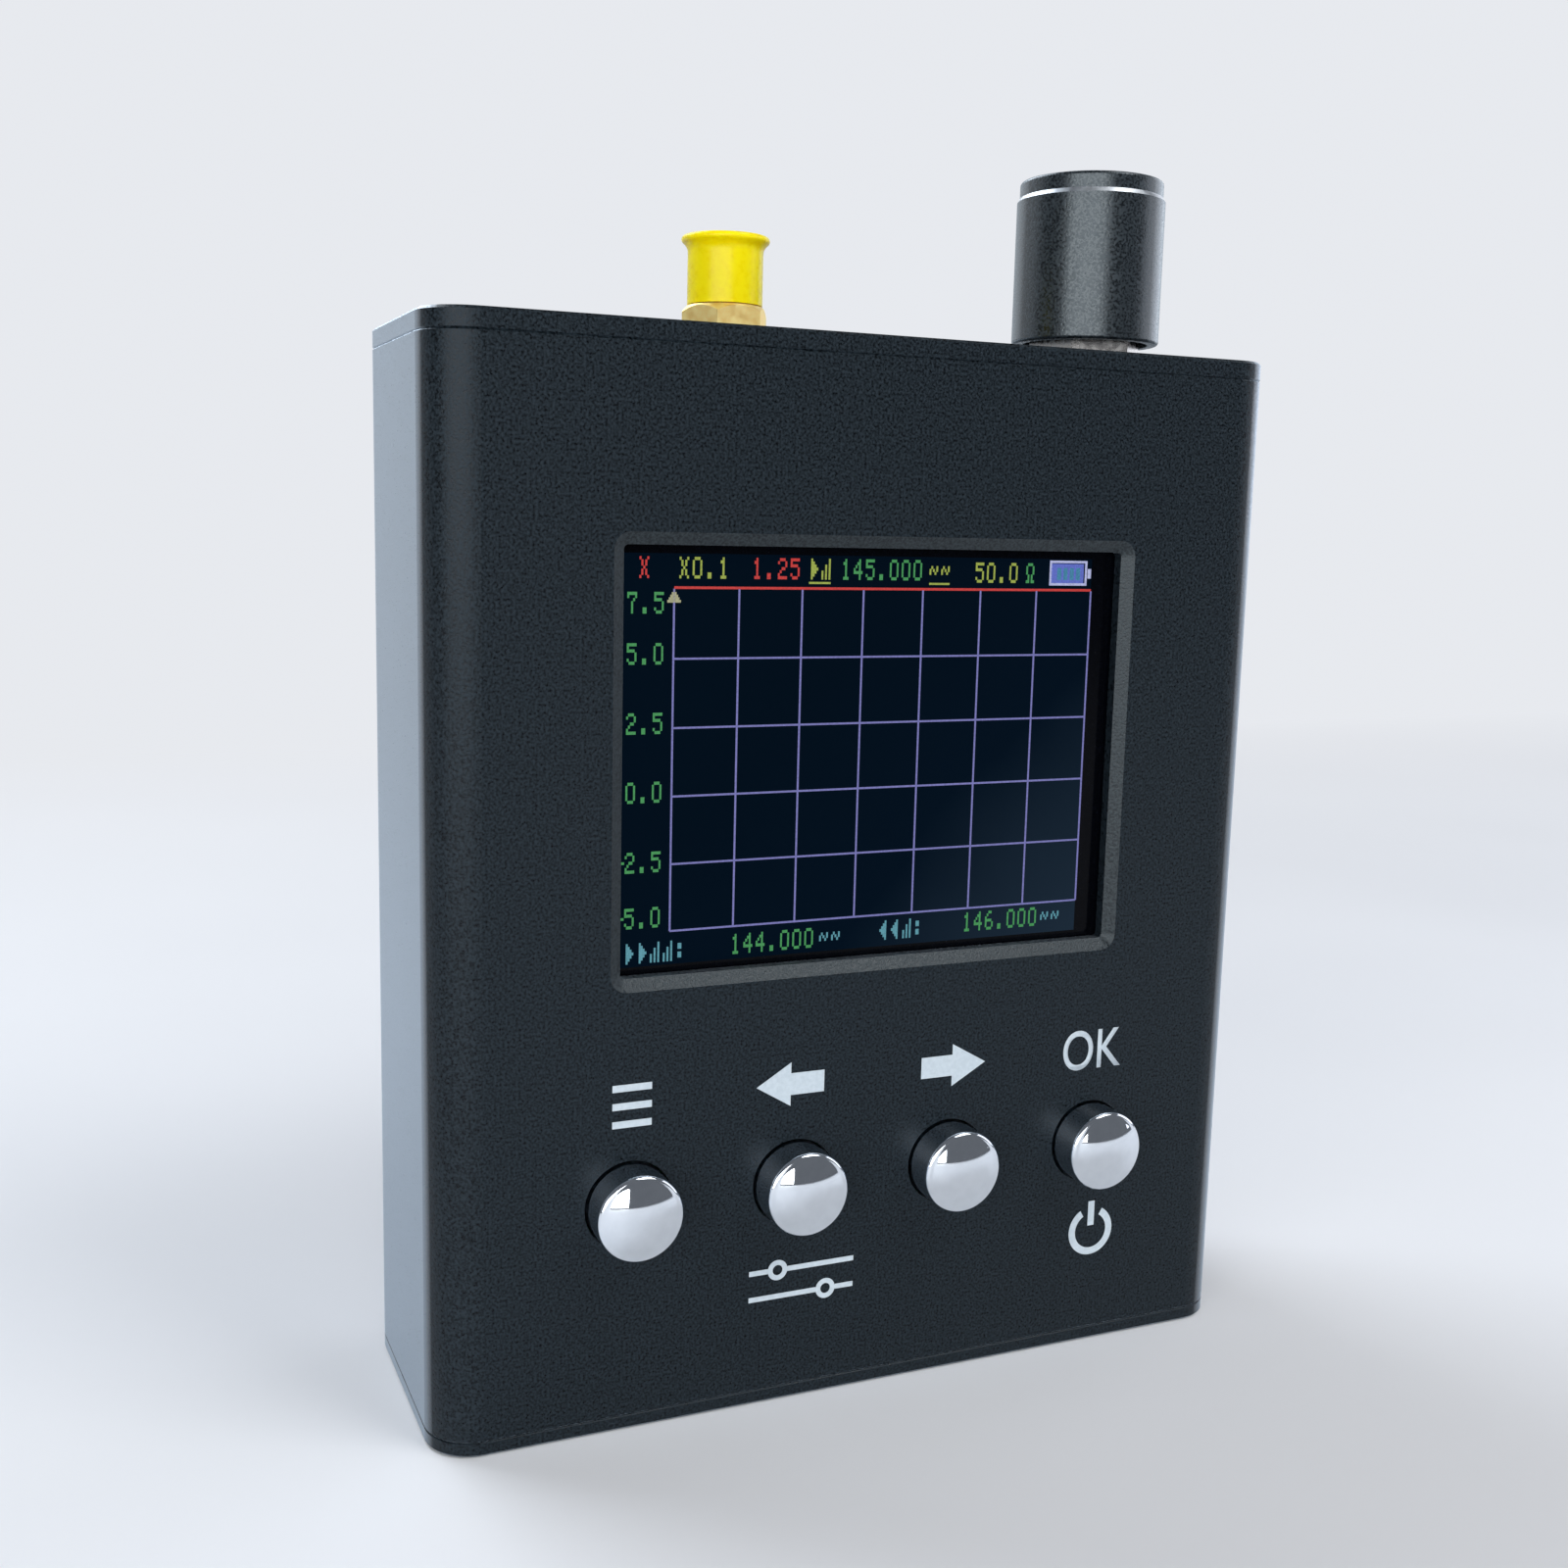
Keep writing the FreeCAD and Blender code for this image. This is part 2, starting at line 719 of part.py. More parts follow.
# RF port
def rf_barrel():
    """Barrel with its thread drawn as rings, a flange under the plate and a tail."""
    bore = insulator_diameter / 2 + fit_clearance
    mouth = barrel_mouth_diameter / 2
    root = thread_radius - thread_depth
    steps = [(root, rf_nut_top_z)]
    ring_count = int((barrel_top_z - rf_nut_top_z) / thread_pitch)
    for ring in range(ring_count):
        low = rf_nut_top_z + ring * thread_pitch
        steps.append((thread_radius, low + thread_pitch * 0.45))
        steps.append((thread_radius, low + thread_pitch * 0.55))
        steps.append((root, low + thread_pitch))
    steps += [
        (root, barrel_top_z),
        (mouth, barrel_top_z),
        (mouth, barrel_top_z - barrel_mouth_depth),
        (bore, barrel_top_z - barrel_mouth_depth),
        (bore, barrel_tail_z),
        (barrel_tail_diameter / 2, barrel_tail_z),
        (barrel_tail_diameter / 2, tube_top_z - barrel_flange_height),
        (thread_radius, tube_top_z - barrel_flange_height),
    ]
    barrel = turned(rf_x, port_y, (thread_radius, rf_nut_top_z), steps)
    flange = hexagon(rf_x, port_y, tube_top_z - barrel_flange_height, tube_top_z,
                     barrel_flange_flats, 0)
    flange = flange.cut(upright(rf_x, port_y, tube_top_z - barrel_flange_height - 1,
                                tube_top_z + 1, thread_radius - thread_depth))
    return barrel.fuse(flange).removeSplitter()


def rf_insulator():
    """White insulator inside the barrel."""
    body = upright(rf_x, port_y, barrel_tail_z, barrel_top_z - barrel_mouth_depth,
                   insulator_diameter / 2)
    return body.cut(upright(rf_x, port_y, barrel_tail_z - 1, barrel_top_z,
                            contact_diameter / 2 + fit_clearance))


def rf_contact():
    """Centre contact, bored at its top for the plug's pin."""
    face_z = barrel_top_z - barrel_mouth_depth
    body = upright(rf_x, port_y, barrel_tail_z, face_z, contact_diameter / 2)
    return body.cut(upright(rf_x, port_y, face_z - contact_bore_depth, face_z + 1,
                            contact_bore_diameter / 2))


def rf_washer():
    """Washer between the nut and the plate."""
    body = upright(rf_x, port_y, top_z, rf_nut_bottom_z, rf_washer_diameter / 2)
    return body.cut(upright(rf_x, port_y, top_z - 1, rf_nut_bottom_z + 1,
                            thread_radius + nut_hole_clearance))


def rf_nut():
    """Hexagon nut with its upper corners turned off."""
    nut = hexagon(rf_x, port_y, rf_nut_bottom_z, rf_nut_top_z, rf_nut_flats, 0)
    corner = rf_nut_flats / math.sqrt(3)
    shoulder = rf_nut_flats / 2 * 0.96
    drop = corner - shoulder
    turned_blank = turned(rf_x, port_y, (0, rf_nut_bottom_z), [
        (corner, rf_nut_bottom_z),
        (corner, rf_nut_top_z - drop),
        (shoulder, rf_nut_top_z),
        (0, rf_nut_top_z),
    ])
    nut = nut.common(turned_blank)
    return nut.cut(upright(rf_x, port_y, rf_nut_bottom_z - 1, rf_nut_top_z + 1,
                           thread_radius + nut_hole_clearance))


def dust_cap():
    """Push-on cap with a flared, rounded rim and a shallow dish in its top."""
    foot_z = rf_nut_top_z + cap_seat_gap
    bore = thread_radius + cap_clearance
    outside = bore + cap_wall
    ceiling_z = barrel_top_z + cap_ceiling_gap
    roof_z = ceiling_z + cap_roof
    top = roof_z + cap_dish_depth
    lip = cap_lip_radius
    lip_centre = (cap_rim_diameter / 2 - lip, top - lip)
    _, lip_start = bend(lip_centre, lip, 0, -45)
    dish = lip_centre[0] - lip
    return turned(rf_x, port_y, (bore, foot_z), [
        (outside, foot_z),
        (outside, lip_start[1] - cap_flare_height),
        lip_start,
        bend(lip_centre, lip, -45, 90),
        (dish, top),
        (dish - cap_dish_slope, roof_z),
        (0, roof_z),
        (0, ceiling_z),
        (bore, ceiling_z),
    ])


def rf_coax_route():
    """Down from the port's tail, towards the board, and down into the plug."""
    plug_y = board_back_y + coax_plug_height / 2
    start_z = barrel_tail_z
    low_z = start_z - coax_straight - coax_drop
    return [Vector(rf_x, port_y, start_z), Vector(rf_x, port_y, start_z - coax_straight),
            Vector(rf_x, plug_y, low_z), Vector(rf_x, plug_y, low_z - coax_straight)]


def rf_coax_plug():
    """Round snap plug on the back of the board, with its cable ferrule."""
    end = rf_coax_route()[-1]
    centre_z = end.z - coax_plug_diameter / 2
    plug = inward(rf_x, centre_z, board_back_y, board_back_y + coax_plug_height,
                  coax_plug_diameter / 2)
    half = coax_diameter / 2
    ferrule = box(rf_x - half, rf_x + half, board_back_y, board_back_y + coax_plug_height,
                  centre_z, end.z)
    return plug.fuse(ferrule).removeSplitter()


# Encoder and knob
def encoder_housing():
    """Encoder on the back of the board, with its bush through the top plate."""
    half = encoder_width / 2
    body = box(knob_x - half, knob_x + half, board_back_y, board_back_y + encoder_depth,
               encoder_bottom_z, tube_top_z)
    bush = upright(knob_x, port_y, tube_top_z, bush_top_z, bush_diameter / 2)
    housing = body.fuse(bush)
    cavity = upright(knob_x, port_y, cavity_bottom_z, cavity_top_z, encoder_cavity_diameter / 2)
    bore = upright(knob_x, port_y, cavity_top_z - 0.1, bush_top_z + 1,
                   shaft_radius + shaft_clearance)
    return housing.cut([cavity, bore]).removeSplitter()


def encoder_push_plate():
    """Plate under the shaft, which the knob pushes down onto the switch contact."""
    return upright(knob_x, port_y, push_plate_bottom_z, push_plate_top_z,
                   push_plate_diameter / 2)


def encoder_shaft():
    """Shaft with its collar inside the housing and a flat for the knob's screw."""
    shaft = upright(knob_x, port_y, shaft_bottom_z, shaft_top_z, shaft_radius)
    collar = upright(knob_x, port_y, shaft_bottom_z, collar_top_z, shaft_collar_diameter / 2)
    flat_y = port_y + shaft_radius - shaft_flat_depth
    flat = box(knob_x - shaft_radius - 1, knob_x + shaft_radius + 1, flat_y,
               flat_y + shaft_diameter, shaft_top_z - shaft_flat_length, shaft_top_z + 1)
    return shaft.fuse(collar).cut(flat).removeSplitter()


def encoder_washer():
    """Flat washer on the top plate."""
    body = upright(knob_x, port_y, top_z, encoder_nut_bottom_z, encoder_washer_diameter / 2)
    return body.cut(upright(knob_x, port_y, top_z - 1, encoder_nut_bottom_z + 1,
                            bush_diameter / 2 + nut_hole_clearance))


def encoder_nut():
    """Hexagon nut on the bush, under the knob."""
    nut_top_z = encoder_nut_bottom_z + encoder_nut_height
    nut = hexagon(knob_x, port_y, encoder_nut_bottom_z, nut_top_z, encoder_nut_flats,
                  encoder_nut_turn)
    return nut.cut(upright(knob_x, port_y, encoder_nut_bottom_z - 1, nut_top_z + 1,
                           bush_diameter / 2 + nut_hole_clearance))


def knob():
    """Turned knob with a bevelled cut near its top and a recess over the nut."""
    radius = knob_diameter / 2
    upper = radius - knob_cut_inset
    foot = knob_foot_round
    top_round = knob_top_round
    cut_z = knob_bottom_z + knob_cut_height
    bore = shaft_radius + fit_clearance
    recess = knob_recess_diameter / 2
    body = turned(knob_x, port_y, (recess, knob_bottom_z), [
        (radius - foot, knob_bottom_z),
        bend((radius - foot, knob_bottom_z + foot), foot, -90, 0),
        (radius, cut_z),
        (upper, cut_z + knob_cut_rise),
        (upper, knob_top_z - top_round),
        bend((upper - top_round, knob_top_z - top_round), top_round, 0, 90),
        (0, knob_top_z),
        (0, knob_bore_top_z),
        (bore, knob_bore_top_z),
        (bore, knob_recess_z),
        (recess, knob_recess_z),
    ])
    screw_z = knob_bottom_z + knob_screw_height
    hole = inward(knob_x, screw_z, port_y, port_y + radius + 1,
                  knob_screw_diameter / 2 + fit_clearance)
    return body.cut(hole)


def knob_screw():
    """Headless screw that grips the shaft's flat from the back of the knob."""
    screw_z = knob_bottom_z + knob_screw_height
    flat_y = port_y + shaft_radius - shaft_flat_depth
    end_y = port_y + knob_diameter / 2 - knob_screw_inset
    screw = inward(knob_x, screw_z, flat_y, end_y, knob_screw_diameter / 2)
    socket = inward(knob_x, screw_z, end_y - knob_screw_diameter / 2, end_y + 1,
                    knob_screw_diameter / 4)
    return screw.cut(socket)


# Charging socket and light
def usb_socket():
    """Sheet-metal shell of the charging socket, open at its top."""
    low = usb_top_z - usb_length
    return usb_prism(0, low, usb_top_z).cut(usb_prism(-usb_wall, low + usb_wall, usb_top_z + 1))


def usb_tongue():
    """Plastic tongue with its contacts, standing on the socket's floor."""
    low = usb_top_z - usb_length + usb_wall
    half = tongue_width / 2
    return box(usb_x - half, usb_x + half, usb_y - tongue_thickness / 2,
               usb_y + tongue_thickness / 2, low, usb_top_z - tongue_inset)


def charge_light():
    """Light pipe pushed into the top plate."""
    high = top_z - light_recess
    return upright(light_x, usb_y, high - light_length, high, light_diameter / 2)


# Battery
def battery_pack():
    """Soft-wrapped cell with rounded long edges and the circuit strip on its top."""
    half = battery_width / 2
    face = rounded_face(battery_centre_x, (battery_front_y + battery_back_y) / 2,
                        battery_width, battery_thickness, battery_round,
                        lambda u, v: Vector(u, v, battery_foot_z))
    cell = face.extrude(Vector(0, 0, battery_height))
    middle_y = (battery_front_y + battery_back_y) / 2
    strip = box(battery_centre_x - half + strip_inset, battery_centre_x + half - strip_inset,
                middle_y - strip_thickness / 2, middle_y + strip_thickness / 2,
                battery_top_z, strip_top_z)
    return cell.fuse(strip)


def battery_pad():
    """Foam pad that glues the battery to the back wall."""
    half = battery_width / 2 - pad_inset
    return box(battery_centre_x - half, battery_centre_x + half, battery_back_y, inner_back_y,
               battery_foot_z + pad_inset, battery_top_z - pad_inset)


def lead_route(side):
    """Up from the battery, over, and down into the plug on the board."""
    x = lead_x + side * lead_spacing / 2
    start_y = (battery_front_y + battery_back_y) / 2
    end_y = board_back_y + header_thickness / 2
    high = strip_top_z + lead_rise
    return [Vector(x, start_y, strip_top_z), Vector(x, start_y, high),
            Vector(x, (start_y + end_y) / 2, high + lead_crown), Vector(x, end_y, high),
            Vector(x, end_y, high - lead_drop)]


def battery_plug():
    """Two-way plug and header on the back of the board."""
    top = lead_route(1)[-1].z
    half = header_width / 2
    return box(lead_x - half, lead_x + half, board_back_y, board_back_y + header_thickness,
               top - header_length, top)


def all_nodes():
    """Every piece of the analyzer, by name."""
    nodes = {
        "case_body": case_body(),
        "top_end_plate": top_end_plate(),
        "bottom_end_plate": bottom_end_plate(),
        "top_plate_screws": Part.makeCompound(
            placed_at_corners(countersunk_screw(), top_z, 1)),
        "bottom_plate_screws": Part.makeCompound(
            placed_at_corners(countersunk_screw(), 0, -1)),
        "display_gasket": display_gasket(),
        "display_glass": display_glass(),
        "display_backlight": display_backlight(),
        "display_holder": display_holder(),
        "display_ribbon": display_ribbon(),
        "main_board": main_board(),
        "board_chips": board_chips(),
        "shield_can": shield_can(),
        "rf_barrel": rf_barrel(),
        "rf_insulator": rf_insulator(),
        "rf_contact": rf_contact(),
        "rf_washer": rf_washer(),
        "rf_nut": rf_nut(),
        "rf_coax": soft_tube("rf_coax", rf_coax_route(), coax_diameter),
        "rf_coax_plug": rf_coax_plug(),
        "dust_cap": dust_cap(),
        "encoder_housing": encoder_housing(),
        "encoder_push_plate": encoder_push_plate(),
        "encoder_shaft": encoder_shaft(),
        "encoder_washer": encoder_washer(),
        "encoder_nut": encoder_nut(),
        "knob": knob(),
        "knob_screw": knob_screw(),
        "usb_socket": usb_socket(),
        "usb_tongue": usb_tongue(),
        "charge_light": charge_light(),
        "battery_pack": battery_pack(),
        "battery_pad": battery_pad(),
        "battery_lead_red": soft_tube("battery_lead_red", lead_route(-1), lead_diameter),
        "battery_lead_black": soft_tube("battery_lead_black", lead_route(1), lead_diameter),
        "battery_plug": battery_plug(),
    }
    for number, x in enumerate(key_xs, start=1):
        nodes[f"key_{number}_switch"] = key_switch(x)
        nodes[f"key_{number}_stem"] = key_stem(x)
        nodes[f"key_{number}_cap"] = key_cap(x)
    return nodes


os.makedirs("parts", exist_ok=True)
for name, shape in all_nodes().items():
    shape.exportStep(f"parts/{name}.step")
    print(name, "solids", len(shape.Solids), "volume", round(shape.Volume, 2),
          "valid", shape.isValid())
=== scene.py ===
# %% [markdown]
# A hand-held antenna analyzer, dressed for a studio picture.
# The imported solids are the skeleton, already at real size. This lesson gives each of
# them a finish, and remakes in mesh the few pieces whose round, polished skin shows facets.

# %% Load the frame
import bmesh
import bpy
import json
import math
from mathutils import Matrix, Vector


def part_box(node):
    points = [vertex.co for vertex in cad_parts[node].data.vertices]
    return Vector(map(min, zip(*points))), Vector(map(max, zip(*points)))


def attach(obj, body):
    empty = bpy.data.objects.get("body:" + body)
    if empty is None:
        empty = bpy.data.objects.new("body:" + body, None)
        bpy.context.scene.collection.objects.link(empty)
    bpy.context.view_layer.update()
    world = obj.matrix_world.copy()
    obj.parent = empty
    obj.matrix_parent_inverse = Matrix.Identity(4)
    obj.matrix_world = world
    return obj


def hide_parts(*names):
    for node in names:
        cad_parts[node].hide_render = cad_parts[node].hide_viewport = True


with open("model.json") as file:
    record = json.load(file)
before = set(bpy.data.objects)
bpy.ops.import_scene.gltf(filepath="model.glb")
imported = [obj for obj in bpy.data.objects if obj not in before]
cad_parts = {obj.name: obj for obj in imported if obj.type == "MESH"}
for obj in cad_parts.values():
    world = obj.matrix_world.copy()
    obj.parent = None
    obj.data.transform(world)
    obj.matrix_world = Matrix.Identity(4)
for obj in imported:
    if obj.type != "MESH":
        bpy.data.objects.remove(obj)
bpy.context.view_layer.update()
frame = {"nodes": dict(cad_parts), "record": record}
nodes = frame["nodes"]
MM = 0.001

# %% [markdown]
# The places of the solids are read from the frame, so the dressing follows them. The
# front face and the display's glass are the planes that most of the dressing sits on.

# %% Planes read from the frame
front_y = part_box("case_body")[0].y
glass_front_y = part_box("display_glass")[0].y


def middle(node):
    """Centre of a node's box."""
    low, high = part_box(node)
    return (low + high) / 2


print("front", front_y, "glass", glass_front_y)

# %% [markdown]
# The camera repeats the photograph's view: low, from the left, with a slight roll.
# Its place was worked out from the edges of the case and the display's even grid.

# %% Camera
CAMERA_PLACE = (-0.071068, -0.153382, 0.082938)
CAMERA_TILT, CAMERA_ROLL, CAMERA_TURN = 81.221, -1.359, -23.376
CAMERA_LENS, CAMERA_SENSOR = 39.364, 36.0
CAMERA_NEAREST = 0.01
camera_data = bpy.data.cameras.new("photo_camera")
camera_data.lens = CAMERA_LENS
camera_data.sensor_width = CAMERA_SENSOR
camera_data.clip_start = CAMERA_NEAREST
camera = bpy.data.objects.new("photo_camera", camera_data)
camera.location = CAMERA_PLACE
camera.rotation_euler = (math.radians(CAMERA_TILT), math.radians(CAMERA_ROLL),
                         math.radians(CAMERA_TURN))
bpy.context.scene.collection.objects.link(camera)
bpy.context.scene.camera = camera
print("camera at", tuple(round(value, 3) for value in camera.location))

# %% [markdown]
# A material here is a few helpers deep. A base shader takes plain numbers on its sockets,
# and one noise in Object coordinates breaks up the colour, the gloss and the surface
# together, as the grain of a real surface does. Object coordinates are metres, so a scale
# of 2500 gives grains of about 0.4 mm.

# %% Material helpers
TONES_FROM, TONES_TO = 0.35, 0.65


def new_material(name, colour, roughness, metallic=0.0):
    """Material with a Principled shader, and that shader."""
    material = bpy.data.materials.new(name)
    material.use_nodes = True
    shader = material.node_tree.nodes["Principled BSDF"]
    shader.inputs["Base Color"].default_value = (*colour, 1.0)
    shader.inputs["Roughness"].default_value = roughness
    shader.inputs["Metallic"].default_value = metallic
    return material, shader


def object_noise(material, scale, detail=2.0):
    """Noise texture in Object coordinates; its output is the noise value."""
    tree = material.node_tree
    place = tree.nodes.new("ShaderNodeTexCoord")
    noise = tree.nodes.new("ShaderNodeTexNoise")
    noise.inputs["Scale"].default_value = scale
    noise.inputs["Detail"].default_value = detail
    tree.links.new(place.outputs["Object"], noise.inputs["Vector"])
    return noise.outputs["Fac"]


def spread(material, value, low, high, from_low=0.3, from_high=0.7):
    """Map a noise value to a range."""
    node = material.node_tree.nodes.new("ShaderNodeMapRange")
    node.inputs["From Min"].default_value = from_low
    node.inputs["From Max"].default_value = from_high
    node.inputs["To Min"].default_value = low
    node.inputs["To Max"].default_value = high
    material.node_tree.links.new(value, node.inputs["Value"])
    return node.outputs["Result"]


def two_tone(material, shader, value, dark, light):
    """Base colour that varies between two tones with a noise value."""
    ramp = material.node_tree.nodes.new("ShaderNodeValToRGB")
    ramp.color_ramp.elements[0].position = TONES_FROM
    ramp.color_ramp.elements[0].color = (*dark, 1.0)
    ramp.color_ramp.elements[1].position = TONES_TO
    ramp.color_ramp.elements[1].color = (*light, 1.0)
    material.node_tree.links.new(value, ramp.inputs["Fac"])
    material.node_tree.links.new(ramp.outputs["Color"], shader.inputs["Base Color"])


def bumped(material, shader, value, strength, depth):
    """Surface relief from a noise value, depth in metres."""
    bump = material.node_tree.nodes.new("ShaderNodeBump")
    bump.inputs["Strength"].default_value = strength
    bump.inputs["Distance"].default_value = depth
    material.node_tree.links.new(value, bump.inputs["Height"])
    material.node_tree.links.new(bump.outputs["Normal"], shader.inputs["Normal"])


def grained(name, dark, light, roughness, metallic, grain, depth, strength=0.5, vary=0.06):
    """Material with a fine grain in colour, gloss and relief."""
    material, shader = new_material(name, light, roughness, metallic)
    value = object_noise(material, grain)
    two_tone(material, shader, value, dark, light)
    link = material.node_tree.links.new
    link(spread(material, value, roughness - vary, roughness + vary), shader.inputs["Roughness"])
    bumped(material, shader, value, strength, depth)
    return material, shader


print("material helpers ready")

# %% [markdown]
# The case is blasted, then anodised black. Blasting leaves tiny pits that catch the light
# as pale specks, and the clear oxide over the metal mirrors far more at a flat angle than
# face on. So the shader is a dark, pitted dielectric whose gloss grows with the slant:
# the front stays dark while the side and the knob's edges pick up the pale studio. The
# slant is 0 face on and 1 edge on, and the gloss grows between two values of it.

# %% Anodised and blasted aluminium
BLAST_GRAIN = 4200.0
SLANT_START, SLANT_END = 0.5, 0.85


def gloss_with_slant(material, shader, face_on, slanting):
    """Gloss level that grows from the face-on value as the surface slants away."""
    slant = material.node_tree.nodes.new("ShaderNodeLayerWeight")
    slant.inputs["Blend"].default_value = 0.5
    level = spread(material, slant.outputs["Facing"], face_on, slanting, SLANT_START,
                   SLANT_END)
    material.node_tree.links.new(level, shader.inputs["Specular IOR Level"])


anodised, shader = grained("black_anodised", (0.001, 0.002, 0.003), (0.015, 0.023, 0.030),
                           0.40, 0.0, BLAST_GRAIN, 0.00005, strength=0.6, vary=0.14)
gloss_with_slant(anodised, shader, 0.22, 7.6)
shader.inputs["Specular Tint"].default_value = (0.80, 0.9, 1.0, 1.0)
knob_finish, shader = grained("knob_anodised", (0.001, 0.002, 0.003), (0.018, 0.025, 0.031),
                              0.30, 0.0, BLAST_GRAIN, 0.00005, strength=0.5, vary=0.14)
gloss_with_slant(knob_finish, shader, 0.7, 4.4)
shader.inputs["Specular Tint"].default_value = (0.82, 0.93, 1.0, 1.0)
# The bevel gets a paler copy of the case's finish: painted light for the light its slopes catch.
bevel_with_painted_light, shader = grained("milled_bevel_painted_light", (0.003, 0.005, 0.007), (0.026, 0.034, 0.039),
                               0.40, 0.0, BLAST_GRAIN, 0.00005, strength=0.7, vary=0.12)
shader.inputs["Specular IOR Level"].default_value = 0.42
shader.inputs["Specular Tint"].default_value = (0.84, 0.94, 1.0, 1.0)
print("anodised finishes ready")

# %% [markdown]
# The other finishes are relatives of the first. Plated and turned metals are smoother, so
# their grain is faint. A recipe is read as its dark and light tone, its roughness, its
# share of metal, the grains in a metre and the depth of the grain in metres.

# %% Metals
chrome, _ = grained("chrome", (0.74, 0.79, 0.85), (0.78, 0.83, 0.89), 0.045, 1.0, 900.0,
                    0.000002, strength=0.05, vary=0.015)
brass, _ = grained("brass", (1.0, 0.72, 0.26), (1.0, 0.82, 0.36), 0.50, 1.0, 1500.0,
                   0.00001, strength=0.1)
gold, _ = grained("gold_contact", (0.75, 0.52, 0.18), (0.9, 0.68, 0.3), 0.2, 1.0, 1200.0,
                  0.00001, strength=0.1)
nickel, _ = grained("nickel", (0.34, 0.33, 0.32), (0.42, 0.41, 0.40), 0.26, 1.0, 1500.0,
                    0.000001, strength=0.02)
# A dark copy of steel for the washer under the knob: painted shade in that gap.
washer_painted_shade, _ = grained("washer_with_painted_shade", (0.03, 0.03, 0.033), (0.06, 0.06, 0.065), 0.4, 0.6,
                         1500.0, 0.00001, strength=0.2)
zinc, _ = grained("zinc", (0.34, 0.34, 0.33), (0.48, 0.48, 0.46), 0.45, 1.0, 900.0,
                  0.00002, strength=0.3)
tin, _ = grained("tin", (0.5, 0.5, 0.48), (0.64, 0.64, 0.61), 0.3, 1.0, 400.0,
                 0.00001, strength=0.2)
black_screw, _ = grained("black_screw", (0.012, 0.012, 0.014), (0.035, 0.035, 0.038), 0.35,
                         0.6, 2200.0, 0.00001, strength=0.2)
cut_metal, _ = grained("cut_metal", (0.50, 0.53, 0.57), (0.62, 0.66, 0.70), 0.40, 1.0,
                       1500.0, 0.000005, strength=0.1)
print("metals ready")

# %% [markdown]
# Moulded plastics get a soft grain, and the board a mottled green lacquer. Most of these
# pieces are seen only when the case is opened, so each gets a plain finish in its usual
# colour. Only the charge light lets light through.

# %% Plastics, foam, board and leads
black_plastic, _ = grained("black_plastic", (0.012, 0.012, 0.013), (0.03, 0.03, 0.032), 0.5,
                           0.0, 1800.0, 0.00002)
white_plastic, _ = grained("white_plastic", (0.70, 0.70, 0.66), (0.82, 0.82, 0.79), 0.45, 0.0,
                           1800.0, 0.00002)
foam, _ = grained("foam", (0.008, 0.008, 0.008), (0.04, 0.04, 0.04), 0.9, 0.0, 1500.0,
                  0.0001, strength=0.9)
ribbon_film, _ = grained("ribbon_film", (0.36, 0.17, 0.03), (0.55, 0.3, 0.07), 0.25, 0.0,
                         600.0, 0.000005)
board_green, _ = grained("circuit_board", (0.004, 0.06, 0.02), (0.02, 0.17, 0.06), 0.3, 0.0,
                         420.0, 0.00002)
battery_foil, _ = grained("battery_wrap", (0.36, 0.38, 0.41), (0.56, 0.58, 0.61), 0.35, 0.7,
                          160.0, 0.0001)
coax_jacket, _ = grained("coax_jacket", (0.14, 0.05, 0.02), (0.26, 0.1, 0.05), 0.35, 0.0,
                         900.0, 0.00001)
red_lead, _ = grained("red_lead", (0.4, 0.01, 0.01), (0.62, 0.03, 0.02), 0.4, 0.0, 900.0,
                      0.00001)
black_lead, _ = grained("black_lead", (0.01, 0.01, 0.01), (0.03, 0.03, 0.03), 0.4, 0.0,
                        900.0, 0.00001)
light_pipe, shader = grained("clear_plastic", (0.75, 0.76, 0.78), (0.85, 0.86, 0.88), 0.35,
                             0.0, 900.0, 0.00001)
shader.inputs["Transmission Weight"].default_value = 0.5
print("plastics ready")

# %% [markdown]
# The dust cap is glossy yellow plastic, thin enough to glow where light gets into its
# edges. Subsurface scattering carries the light through the wall, so it stays saturated.

# %% Yellow plastic
yellow, shader = grained("yellow_plastic", (0.96, 0.74, 0.0), (1.0, 0.80, 0.0), 0.3, 0.0,
                         1500.0, 0.000005, strength=0.1)
shader.inputs["Specular IOR Level"].default_value = 0.2
shader.inputs["Subsurface Weight"].default_value = 0.3
shader.inputs["Subsurface Radius"].default_value = (1.0, 0.8, 0.05)
shader.inputs["Subsurface Scale"].default_value = 0.001
print("yellow plastic ready")

# %% [markdown]
# The display's glass is nearly black and bonded to the panel, so it mirrors very little.
# The lit picture is added in front of it as thin glowing pieces.

# %% Display glass
glass_black, shader = grained("display_glass", (0.0008, 0.001, 0.002), (0.0012, 0.0016, 0.003),
                              0.12, 0.0, 1800.0, 0.000001, strength=0.01, vary=0.01)
shader.inputs["Specular IOR Level"].default_value = 0.06
print("display glass ready")

# %% [markdown]
# Each solid keeps its shape and only gets a finish. The record names the material slot of
# each, so one table from slot to finish dresses them all. The washer under the knob is the
# one exception: it is made dark, as painted shade for the gap under the knob.

